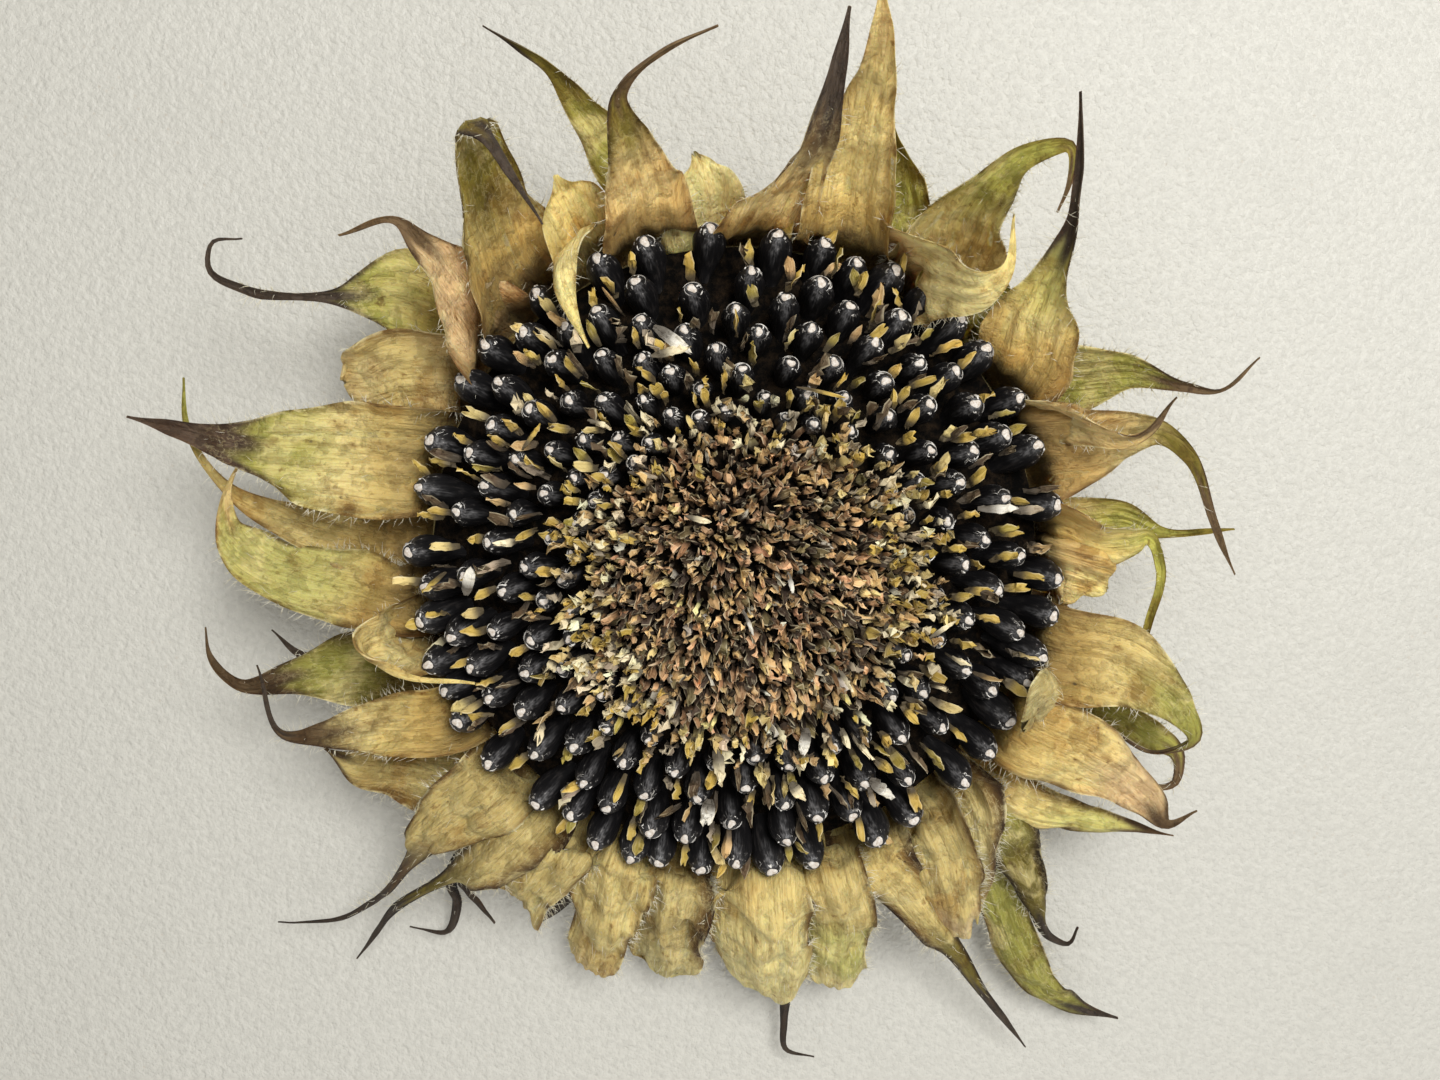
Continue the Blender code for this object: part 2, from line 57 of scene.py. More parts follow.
# where each bract grows, then (radius, azimuth, height, width) along it, in mm and degrees,
# as in the part
INNER = ((45.0, 14.5), (52.6, 20.0))
MIDDLE = ((43.0, 13.0), (52.2, 17.0))
OUTER = ((39.5, 10.5), (50.5, 12.5))
BRACTS = {
    "top_tall": (
        INNER, (55, 71, 33, 15), (61, 73, 41, 13), (68, 74, 51, 8.6), (74, 75, 61, 4),
        (80, 77, 71, 1.3),
    ),
    "top_brown": (
        INNER, (55, 86, 32, 16), (59, 83, 40, 12), (64, 80, 48, 7), (70, 79, 56, 3), (79, 79, 60, 1.6),
    ),
    "top_strap": (
        MIDDLE, (57, 101, 24, 13), (65, 105, 30, 10), (73, 108, 36, 6), (80, 110, 40, 2.7),
        (89, 115, 43, 1.2),
    ),
    "top_lobe": (MIDDLE, (57, 95, 24, 15), (61, 95, 29, 11), (65, 96, 31, 4)),
    "top_hook": (
        INNER, (55, 105, 33, 16), (59, 104, 41, 12), (64, 104, 50, 6.3), (69, 104, 57, 2.5),
        (72, 99, 61, 1.3), (75, 92, 60, 1.2),
    ),
    "fold_back": (
        INNER, (58, 128, 31, 19), (66, 125, 41, 14), (72, 122, 50, 9.5), (75, 120, 56, 6),
        (70, 119, 59, 3), (64, 119, 57, 1.7), (57, 119, 53, 1.2),
    ),
    "fold_lobe": (INNER, (56, 115, 32, 15), (61, 115, 38, 11), (65, 115, 41, 4)),
    "pink": (
        INNER, (57, 137, 33, 16), (62, 135, 41, 11), (67, 134, 46, 4.5), (71, 134, 48, 1.6),
        (77, 140, 46, 1.2),
    ),
    "curl_in": (INNER, (56, 117, 38, 7), (51, 121, 44, 4), (45, 123, 43.5, 1.6), (40, 124, 42.5, 1.2)),
    "left_green": (
        OUTER, (63, 140, 21, 16), (71, 142, 26, 13), (78, 147, 29, 2.6), (90, 151, 30, 1.8),
        (97, 151, 30, 1.3), (98, 149, 31, 1.2), (94, 147, 32, 1.2),
    ),
    "left_folded": (MIDDLE, (57, 147, 28, 12), (63, 151, 30, 12), (68, 155, 29, 7), (71, 156, 28, 1.5)),
    "left_big": (
        MIDDLE, (56, 163, 28, 18), (65, 165, 30, 17.5), (73, 166, 31, 14), (81, 167, 31, 8),
        (89, 167, 31, 4), (102, 167, 30, 1.2),
    ),
    "left_tail": (
        OUTER, (57, 179, 21, 15), (65, 178, 24, 11.5), (74, 176, 25, 7), (85, 173, 26, 2.3),
        (93, 167, 28, 1.2), (95, 162, 29, 1.2),
    ),
    "left_boat": (
        MIDDLE, (57, 188, 27, 12), (65, 185, 27, 12.5), (73, 183, 27, 11), (81, 180, 26, 8.5),
        (85, 177, 26, 4.5), (85, 173, 28, 1.5), (83, 169, 29, 1.2),
    ),
    "left_hook": (
        OUTER, (60, 200, 20, 14), (70, 197, 22, 12), (78, 196, 23, 6.5), (89, 195, 23, 2),
        (92, 191, 24, 1.3), (91, 188, 25, 1.2),
    ),
    "left_spike": (OUTER, (62, 195, 13, 9), (73, 196, 12, 5.4), (80, 194, 14, 1.6), (83, 190, 17, 1.2)),
    "flap_in": (INNER, (57, 194, 34, 12), (60, 194, 40, 8), (56, 198, 43, 2.6), (45, 205, 42, 1.2)),
    "left_low": (
        MIDDLE, (57, 210, 27, 12), (67, 206, 27, 9), (76, 204, 27, 4.2), (83, 202, 26, 1.4),
        (82, 193, 29, 1.2),
    ),
    "left_round": (OUTER, (64, 219, 20, 13), (71, 213, 20, 10), (77, 210, 19, 6), (81, 206, 18, 1.4)),
    "front_left_long": (
        INNER, (57, 224, 32, 15), (65, 223, 30, 13.5), (73, 223, 26, 7), (81, 224, 20, 2.5),
        (91, 225, 14, 1.5), (102, 224, 9, 1.2), (113, 220, 6, 1.2),
    ),
    "front_left_mid": (
        INNER, (57, 232, 32, 15), (67, 231, 28, 11), (77, 229, 22, 3.5), (92, 227, 13, 1.6),
        (107, 228, 6, 1.2),
    ),
    "front_left_thin": (
        MIDDLE, (62, 231, 25, 10), (70, 230, 21, 7), (77, 229, 17, 2.5), (85, 238, 7, 1.2),
    ),
    "front_left_hook": (
        OUTER, (72, 230, 15, 7), (82, 230, 11, 2.4), (87, 233, 7, 1.7), (93, 234, 5, 1.4),
        (96, 230, 5, 1.2),
    ),
    "front_left_round": (
        INNER, (57, 238, 32, 16), (65, 238, 27, 14), (72, 238, 20, 8), (77, 239, 14, 2.2),
    ),
    "front_dark_hook": (OUTER, (64, 245, 15, 8), (74, 245, 9, 2.3), (82, 243, 5, 1.2)),
    "front_point": (
        INNER, (56, 249, 32, 16), (65, 250, 27, 14), (76, 251, 18, 6.5), (84, 251, 12, 1.3),
    ),
    "front_lobe": (INNER, (56, 259, 31, 15), (67, 259, 25, 15.5), (77, 260, 17, 10), (82, 260, 12, 3)),
    "front_wide": (INNER, (56, 274, 32, 18), (65, 274, 28, 18.5), (76, 274, 20, 15), (84, 274, 13, 9)),
    "front_tail": (
        OUTER, (71, 279, 14, 6.5), (84, 277, 9, 2.6), (93, 276, 6, 1.5), (99, 276, 5, 1.2),
        (101, 279, 5, 1.2),
    ),
    "front_right_lobe": (
        INNER, (57, 286, 32, 14), (66, 286, 27, 13), (76, 284, 19, 9), (85, 283, 12, 3),
    ),
    "front_right_tail": (
        INNER, (57, 295, 32, 14), (65, 297, 30, 10), (75, 298, 25, 6.5), (85, 299, 19, 4),
        (93, 299, 14, 2.3), (113, 300, 5, 1.2),
    ),
    "right_lobe": (INNER, (58, 304, 32, 15), (67, 302, 29, 14), (76, 300, 23, 8), (81, 299, 17, 2.5)),
    "right_side": (INNER, (58, 312, 32, 13), (64, 309, 30, 9), (73, 306, 24, 5), (81, 303, 18, 1.4)),
    "right_green_strap": (
        OUTER, (71, 309, 14, 10), (82, 307, 12, 8.5), (93, 305, 10, 8), (103, 305, 8, 6),
        (112, 307, 6, 3), (117, 309, 7, 1.2),
    ),
    "right_green_hook": (
        MIDDLE, (68, 314, 24, 11), (78, 312, 20, 7.5), (87, 310, 15, 3.6), (95, 309, 11, 1.5),
        (98, 310, 10, 1.2), (96, 312, 11, 1.2),
    ),
    "right_low": (
        INNER, (57, 329, 32, 15), (66, 330, 31, 14), (74, 330, 29, 10), (82, 329, 27, 5.8),
        (88, 328, 26, 2), (90, 331, 28, 1.2),
    ),
    "right_lower": (
        MIDDLE, (60, 318, 27, 14), (68, 319, 26, 10), (76, 322, 25, 7), (86, 325, 22, 3.2),
        (92, 327, 22, 1.2),
    ),
    "right_curl": (
        INNER, (56, 343, 31, 16), (63, 344, 32, 14.5), (71, 343, 32, 10), (77, 341, 31, 5.7),
        (82, 338, 30, 2.7), (79, 335, 28, 1.3), (70, 335, 27, 1.2),
    ),
    "right_green_curl": (
        OUTER, (65, 337, 19, 9), (72, 337, 20, 6), (80, 336, 19, 5.3), (87, 335, 18, 2.6),
        (89, 332, 18, 1.4), (83, 330, 19, 1.2), (76, 333, 20, 1.2),
    ),
    "right_cut": (INNER, (57, 337, 35, 7), (54, 335, 41, 7), (52, 331, 43, 6)),
    "right_plain": (INNER, (55, 357, 31, 13), (59, 356, 31, 11), (62, 355, 29, 6)),
    "right_boat": (
        INNER, (55, 5, 32, 9), (59, 3, 33, 9.5), (63, 3, 34, 7), (67, 3, 34, 2.6), (69, 359, 34, 1.7),
        (69, 351, 32, 1.3), (69, 345, 31, 1.2),
    ),
    "right_thin": (OUTER, (60, 5, 23, 8), (66, 5, 25, 6), (71, 3, 27, 2.2), (83, 3, 29, 1.2)),
    "right_long": (
        INNER, (55, 19, 31, 16), (60, 18, 33, 14), (65, 18, 35, 8.5), (70, 17, 36, 4),
        (74, 13, 36, 2.5), (77, 5, 34, 1.5), (82, 358, 32, 1.2),
    ),
    "right_small": (INNER, (56, 23, 35, 9), (60, 20, 39, 5.3), (65, 18, 41, 2.6), (72, 21, 43, 1.2)),
    "right_green": (
        OUTER, (62, 29, 20, 13), (67, 27, 23, 12), (73, 25, 25, 6.5), (79, 21, 28, 2),
        (84, 19, 29, 1.2), (91, 21, 31, 1.2),
    ),
    "top_right_dark": (
        INNER, (55, 33, 32, 14), (60, 38, 38, 12.5), (65, 42, 44, 6.3), (70, 46, 52, 2.3),
        (76, 51, 57, 1.3), (81, 55, 60, 1.2),
    ),
    "top_right_lean": (
        INNER, (55, 57, 35, 17), (55, 53, 41, 12), (56, 49, 45, 7), (59, 48, 48, 2.4),
        (66, 52, 48, 1.2),
    ),
    "top_right_nod": (
        MIDDLE, (60, 54, 27, 18), (65, 56, 35, 12), (69, 56, 43, 7), (74, 55, 48, 3.6),
        (78, 52, 50, 1.7), (74, 49, 47, 1.2), (71, 48, 46, 1.2),
    ),
    "top_right_sliver": (MIDDLE, (58, 41, 27, 9), (60, 44, 33, 5), (62, 48, 36, 1.3)),
    "top_right_green": (OUTER, (61, 62, 19, 11), (66, 65, 26, 7), (70, 68, 31, 3.8), (74, 71, 35, 1.2)),
}

# each bract's colours from its body to its neck and tip, where along it the neck and the tip begin,
# how hairy it is and how far its end is frayed, in mm
BRACT_LOOKS = {
    "top_tall": ("straw", "straw", "tan", 0.5, 0.8, 0.3, 0),
    "top_brown": ("tan", "brown", "dark", 0.5, 0.68, 0.2, 0),
    "top_strap": ("green", "olive", "dark", 0.6, 0.86, 0.6, 0),
    "top_lobe": ("pale_green", "cream", "cream", 0.4, 0.8, 0.8, 0.4),
    "top_hook": ("tan", "olive", "brown", 0.46, 0.64, 0.2, 0),
    "fold_back": ("straw", "olive", "dark", 0.3, 0.7, 0.6, 0),
    "fold_lobe": ("cream", "straw", "straw", 0.4, 0.8, 0.6, 0.5),
    "pink": ("pink", "pink", "brown", 0.4, 0.62, 0.2, 0),
    "curl_in": ("cream", "cream", "straw", 0.4, 0.8, 0.1, 0),
    "left_green": ("pale_green", "green", "dark", 0.3, 0.42, 0.8, 0),
    "left_folded": ("tan", "straw", "tan", 0.5, 0.8, 0.2, 0.6),
    "left_big": ("cream", "green", "purple", 0.42, 0.6, 0.7, 0),
    "left_tail": ("straw", "straw", "green", 0.4, 0.82, 0.4, 0),
    "left_boat": ("straw", "pale_green", "tan", 0.3, 0.8, 0.8, 0),
    "left_hook": ("olive", "green", "brown", 0.25, 0.55, 0.7, 0),
    "left_spike": ("brown", "dark", "dark", 0.2, 0.5, 0.5, 0),
    "flap_in": ("cream", "straw", "straw", 0.4, 0.8, 0.1, 0),
    "left_low": ("straw", "brown", "dark", 0.45, 0.72, 0.5, 0),
    "left_round": ("cream", "straw", "brown", 0.5, 0.9, 0.6, 0),
    "front_left_long": ("straw", "brown", "dark", 0.34, 0.58, 0.9, 0),
    "front_left_mid": ("straw", "olive", "dark", 0.36, 0.64, 0.9, 0),
    "front_left_thin": ("straw", "olive", "dark", 0.3, 0.6, 0.5, 0),
    "front_left_hook": ("brown", "dark", "dark", 0.2, 0.5, 0.3, 0),
    "front_left_round": ("straw", "straw", "tan", 0.5, 0.9, 1.0, 0.3),
    "front_dark_hook": ("brown", "dark", "dark", 0.1, 0.4, 0.2, 0),
    "front_point": ("straw", "straw", "tan", 0.5, 0.9, 1.1, 0.4),
    "front_lobe": ("straw", "straw", "cream", 0.5, 0.85, 1.2, 0.5),
    "front_wide": ("straw", "cream", "cream", 0.4, 0.85, 1.2, 0.7),
    "front_tail": ("green", "brown", "dark", 0.25, 0.6, 0.4, 0),
    "front_right_lobe": ("straw", "pale_green", "cream", 0.5, 0.85, 1.2, 0.5),
    "front_right_tail": ("straw", "olive", "dark", 0.38, 0.68, 0.9, 0),
    "right_lobe": ("straw", "straw", "pink", 0.3, 0.7, 1.0, 0.4),
    "right_side": ("straw", "cream", "straw", 0.3, 0.7, 0.6, 0),
    "right_green_strap": ("green", "green", "dark", 0.3, 0.85, 1.0, 0),
    "right_green_hook": ("green", "olive", "dark", 0.3, 0.7, 0.8, 0),
    "right_low": ("straw", "pink", "brown", 0.5, 0.78, 0.3, 0),
    "right_lower": ("straw", "pale_green", "brown", 0.5, 0.8, 0.3, 0),
    "right_curl": ("straw", "green", "brown", 0.46, 0.74, 0.4, 0),
    "right_green_curl": ("olive", "green", "brown", 0.3, 0.6, 0.7, 0),
    "right_cut": ("straw", "straw", "cream", 0.4, 0.8, 0.3, 1.6),
    "right_plain": ("brown", "tan", "straw", 0.45, 0.75, 0.3, 0.4),
    "right_boat": ("straw", "green", "olive", 0.4, 0.8, 0.5, 0),
    "right_thin": ("straw", "green", "olive", 0.4, 0.8, 0.4, 0),
    "right_long": ("tan", "olive", "brown", 0.38, 0.66, 0.3, 0),
    "right_small": ("tan", "tan", "brown", 0.4, 0.8, 0.2, 0),
    "right_green": ("green", "green", "brown", 0.3, 0.62, 0.9, 0),
    "top_right_dark": ("straw", "pale_green", "dark", 0.36, 0.54, 0.5, 0),
    "top_right_lean": ("tan", "cream", "straw", 0.4, 0.75, 0.3, 0.3),
    "top_right_nod": ("cream", "green", "brown", 0.4, 0.84, 0.9, 0),
    "top_right_sliver": ("pale_green", "green", "green", 0.4, 0.8, 0.5, 0),
    "top_right_green": ("green", "green", "olive", 0.4, 0.8, 0.9, 0),
}
# how light single bracts are painted beside the others, where 1 is the same: partly their own lighter or
# darker colour, partly painted light and shade that the lamps don't give them
BRACT_SHADES = {
    "top_tall": 0.95, "fold_back": 0.9, "left_folded": 0.7, "left_big": 0.86, "left_boat": 0.72,
    "left_hook": 0.7, "left_tail": 0.7, "left_low": 0.85, "flap_in": 0.85, "right_small": 0.8,
    "right_long": 0.8, "front_left_long": 0.9, "front_left_mid": 0.85, "front_left_round": 0.9,
    "front_point": 1.05, "front_lobe": 0.85, "front_wide": 1.2, "front_right_lobe": 1.05,
    "front_right_tail": 1.1, "right_lobe": 0.95, "right_side": 0.85, "right_curl": 0.72,
    "right_cut": 0.5, "right_green": 0.85, "right_low": 0.95, "right_lower": 1.2,
    "top_right_lean": 0.95,
}
# how far single bracts are turned over, in radians
BRACT_TURNS = {"top_right_lean": -0.85}
# bracts with a blunt end, and the share of their length where it begins
BLUNT_BRACTS = (
    "left_folded", "front_left_round", "front_point", "front_lobe", "front_wide", "front_right_lobe",
)
BLUNT_FROM = 0.7
# rows along a bract, columns across its upper side, and the share of it that is hidden at its root
BRACT_ROWS = 78
TOP_COLUMNS = 25
VISIBLE_FROM = 0.24
# steps between two of a bract's given points, and its least width in mm
LINE_STEPS = 24
LEAST_WIDTH = 0.9
# a bract's width at its two root points, as a share of the first given one,
# and how far a blunt end droops, in mm
ROOT_WIDTHS = (0.8, 0.95)
BLUNT_DROP = 2.5
# a bract's underside has every third column of its upper side
UNDERSIDE_SKIP = 3
# how the painted shadow in the gaps between bracts falls on red, green and blue
GAP_SHADOW_TINT = (1, 1.25, 1.6)
# the places in y, in mm, between which bracts turn into front ones
FRONT_BETWEEN = (-24, -48)
# how far apart two bracts, or two small blades, lie in their shared grain, in mm
BRACT_GRAIN_STEP = 17.0
BLADE_GRAIN_STEP = 3.1
# the shares of a bract between which hairs grow, where they end on a blunt one, and the share on edges
HAIRS_BETWEEN = (0.26, 0.8)
BLUNT_HAIRS_TO = 0.98
HAIRS_ON_EDGES = 0.72

# where the seeds stand, as in the part, in mm and degrees
SEED_ROOT_RADII = (20.0, 47.6)
SEED_PITCH = (4.9, 7.3)
SEED_SHOWN = (4.6, 7.2)
SEED_TILT = (8, 43)
SEED_SIDES = 16
# the rings of a seed's scar, the ground of a seed as a share of its squared pitch, and the room
# that an added seed needs, in pitches
SCAR_RINGS = 3
HEXAGON_SHARE = 0.866
SEED_ROOM = 0.75
# the dome of the florets, in mm, the seeds' clearance from it and the spot that its florets lean away from
FLORET_CENTRE = (2.0, -4.0)
FLORET_RADIUS = 23.6
FLORET_TOP = 38.8
FLORET_DROP = 3.0
FLORET_CLEARANCE = 2.2
FLORET_WHORL = (-4.5, 8.0)
# the domed face that the seed tips lie on: its top, its drop at its rim, and the rim's radius, in mm
FACE_TOP = 41.5
FACE_DROP = 6.2
FACE_RADIUS = 51
FACE_CURVE = 2.3
# how far the bed lies under the seeds' visible part, in mm, and how many sides it and the plate have
BED_DEPTH = 3.4
BED_SIDES = 120
PLATE_SIDES = 144
# how far out chaff and papery scales stand, in mm, and the longest side of a gap in seed pitches
CHAFF_REACH = 49
PAPERY_REACH = 46
GAP_REACH = 1.6

# the plate's outline from the middle of the cut stem to the rim under the seeds: radius and height in mm
PLATE_OUTLINE = (
    (0.3, 0.25), (3, 0.2), (6, 0.1), (8.6, 0), (9.2, 0), (11.4, 0), (12.1, 0.3), (12.4, 1), (12.6, 2.4),
    (13.1, 4), (14.6, 5.4), (18, 6), (22, 6.5), (27, 7.2), (32, 8.1), (37, 9.4), (42, 11), (46, 13.4),
    (48.8, 16), (50.6, 18.4), (51.6, 20.6), (51.7, 22.4), (50.4, 23.2), (49.0, 23.0),
)

# how far along a seed each ring lies and how wide it is there, from its root to the middle of its scar
SEED_OUTLINE = (
    (0, 0.4), (0.14, 0.56), (0.28, 0.74), (0.42, 0.9), (0.54, 0.98), (0.64, 1), (0.74, 0.95),
    (0.82, 0.84), (0.885, 0.71), (0.935, 0.57), (0.97, 0.46), (0.99, 0.36), (0.984, 0.3), (1.0, 0.27),
    (1.008, 0.17), (1.008, 0.02),
)

# fibres on each seed: how many, between which shares of its length they start, how far they run down it,
# how far from its inner side they start and how far they turn round it, in radians, and their radius in mm
FIBRES = (
    (3, 0.89, 0.965, 0.015, math.pi, 3.6, 0.1),
    (4, 0.90, 0.97, 0.3, 1.2, 0.35, 0.085),
    (3, 0.90, 0.97, 0.14, math.pi, 0.3, 0.11),
    (4, 0.93, 0.985, 0.03, math.pi, 0.6, 0.2),
)

# shapes of the chaff: how wide it is at shares of its length, and how deep its teeth are
CHAFF_SHAPES = (
    (((0, 0.5), (0.45, 0.85), (0.72, 1), (0.9, 0.72), (1, 0.22)), 0.12),
    (((0, 0.55), (0.4, 0.9), (0.85, 1), (1, 0.72)), 0.4),
    (((0, 0.5), (0.5, 1), (0.75, 0.85), (1, 0.12)), 0.1),
)

# loose pale shreds among the seeds: x, y, azimuth, length and width in mm and degrees, and their colour
SHREDS = (
    (-10.0, 35.0, -32, 7.2, 2.2, "white"), (-10.4, 33.0, 19, 6.4, 1.6, "cream"),
    (13.0, 26.7, -10, 8.4, 0.6, "mustard"), (-21.2, 21.6, -20, 4.2, 1.2, "cream"),
    (-32.0, 19.5, 55, 5.2, 0.9, "mustard"), (-42.4, -3.5, 80, 4.6, 2.0, "white"),
    (41.0, 8.3, -2, 6.6, 1.6, "white"), (46.4, 8.0, 3, 5.4, 1.5, "grey"),
    (32.4, -10.8, 35, 5.5, 0.8, "cream"), (23.6, -36.6, -35, 5.4, 2.2, "white"),
    (22.0, -38.2, -78, 3.8, 1.1, "grey"), (-2.6, -32.4, -80, 6.6, 2.2, "cream"),
    (-4.4, -40.3, -100, 4.6, 2.6, "white"), (11.1, -28.4, -97, 5.0, 2.0, "white"),
    (17.2, -18.4, -60, 4.4, 0.9, "cream"), (8.6, -2.7, -70, 3.8, 0.8, "white"),
    (2.0, -9.0, -65, 4.6, 0.7, "white"), (9.8, -36.8, -60, 3.8, 2.0, "cream"),
    (-6.0, 7.0, -15, 4.4, 1.0, "cream"), (-14.5, 14.0, -5, 5.0, 0.9, "grey"),
)

# the camera over the head, in mm and degrees
VIEW_TARGET = (-2.4, 3.2, 36.0)
VIEW_DISTANCE = 192.0
VIEW_TILT = 5.0
VIEW_LENS = 30.0
VIEW_SENSOR = 36.0

# where the two lights stand, in metres, and the colour of the even sky
OVER_PLACE = (0.15, 0.2, 0.53)
FRONT_PLACE = (0.1, -0.5, 0.36)
SKY_COLOUR = (1, 0.985, 0.95, 1)


def mix(pair, share):
    """The value this share of the way from the first of a pair to the second."""
    return pair[0] + (pair[1] - pair[0]) * share


def smooth(low, high, value):
    """0 below low, 1 above high and a smooth rise between them."""
    share = np.clip((value - low) / (high - low), 0, 1)
    return share * share * (3 - 2 * share)


def unit(vectors):
    """The vectors with a length of 1."""
    return vectors / np.maximum(np.linalg.norm(vectors, axis=-1, keepdims=True), 1e-9)


def turned_over(side, up, turn):
    """A blade's side and up directions, turned about its line by this angle."""
    return side * np.cos(turn) + up * np.sin(turn), up * np.cos(turn) - side * np.sin(turn)


def ruffle(rng, x, y, width, length, waves=7):
    """Smooth noise of about -1 to 1, whose bumps are this wide in x and this long in y."""
    total = 0.0
    for _ in range(waves):
        angle, phase = rng.uniform(0, math.tau, 2)
        stretch = rng.uniform(0.6, 1.6)
        total = total + np.sin(
            stretch * math.pi * (x * math.cos(angle) / width + y * math.sin(angle) / length) + phase
        )
    return total / math.sqrt(waves)


class Gathered:
    """Tubes of points gathered into one mesh. A blade is a flattened tube."""

    def __init__(self):
        self.points, self.quads, self.caps, self.values, self.count = [], [], [], {}, 0

    def add(self, points, **values):
        """Adds tubes from points in mm, shaped (tubes, rows, ring, 3), with values that spread over them."""
        tubes, rows, ring, _ = points.shape
        index = self.count + np.arange(tubes * rows * ring).reshape(tubes, rows, ring)
        turned = np.roll(index, -1, axis=2)
        quads = np.stack([index[:, :-1], index[:, 1:], turned[:, 1:], turned[:, :-1]], axis=-1)
        self.quads.append(quads.reshape(-1, 4))
        self.caps.extend([index[:, 0], index[:, -1, ::-1]])
        self.points.append(points.reshape(-1, 3))
        for name, value in values.items():
            value = np.asarray(value, dtype=float)
            size = (3,) if name in VECTORS else ()
            spread = np.broadcast_to(value, (tubes, rows, ring, *size))
            self.values.setdefault(name, []).append(spread.reshape(-1, *size))
        self.count += tubes * rows * ring

    def make(self, name, finish, node, sharp=40):
        """One mesh object that rides on the head and stands for the CAD node."""
        mesh = bpy.data.meshes.new(name)
        faces = np.concatenate(self.quads).tolist()
        for caps in self.caps:
            faces.extend(caps.tolist())
        mesh.from_pydata((np.concatenate(self.points) * MM).tolist(), [], faces)
        for key, parts in self.values.items():
            data = np.concatenate(parts)
            vector = data.ndim == 2
            layer = mesh.attributes.new(key, "FLOAT_VECTOR" if vector else "FLOAT", "POINT")
            layer.data.foreach_set("vector" if vector else "value", data.ravel())
        mesh.shade_smooth()
        mesh.set_sharp_from_angle(angle=math.radians(sharp))
        mesh.materials.append(finish)
        obj = bpy.data.objects.new(name, mesh)
        bpy.context.scene.collection.objects.link(obj)
        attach(obj, "root")
        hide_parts(node)
        return obj


def thread_tubes(centres, radius, reference):
    """Three-sided tubes round lines (threads, rows, 3), with a radius for each row."""
    along = unit(np.gradient(centres, axis=1))
    first = unit(np.cross(along, reference[:, None]))
    second = np.cross(along, first)
    angles = -np.arange(3) * math.tau / 3
    ring = first[:, :, None] * np.cos(angles)[:, None] + second[:, :, None] * np.sin(angles)[:, None]
    return centres[:, :, None] + ring * radius[..., None, None]


def flat_tube(surface, up, thickness, skip=2):
    """Closed rings round thin blades, from their middle surface (blades, rows, columns, 3)."""
    above = surface + up * thickness[..., None] / 2
    below = (surface - up * thickness[..., None] / 2)[:, :, ::-1][:, :, ::skip]
    return np.concatenate([above, below], axis=2)


def along_flat_tube(values, skip=2):
    """Values of a blade's columns, repeated for its underside."""
    return np.concatenate([values, values[:, :, ::-1][:, :, ::skip]], axis=2)


# ---- finishes ----


class Value:
    """A socket of a shader node. Arithmetic on it adds Math nodes."""

    def __init__(self, finish, socket):
        self.finish, self.socket = finish, socket

    def math(self, operation, *operands):
        """A Math node on these operands, or on this value alone."""
        return self.finish.node("ShaderNodeMath", {"operation": operation}, *(operands or (self,)))

    def __add__(self, other):
        return self.math("ADD", self, other)

    def __sub__(self, other):
        return self.math("SUBTRACT", self, other)

    def __rsub__(self, other):
        return self.math("SUBTRACT", other, self)

    def __mul__(self, other):
        return self.math("MULTIPLY", self, other)

    def __abs__(self):
        return self.math("ABSOLUTE")

    __radd__ = __add__
    __rmul__ = __mul__

    def rise(self, low, high):
        """0 at low, 1 at high and a smooth rise between them."""
        settings = {"interpolation_type": "SMOOTHSTEP"}
        return self.finish.node("ShaderNodeMapRange", settings, self, low, high)


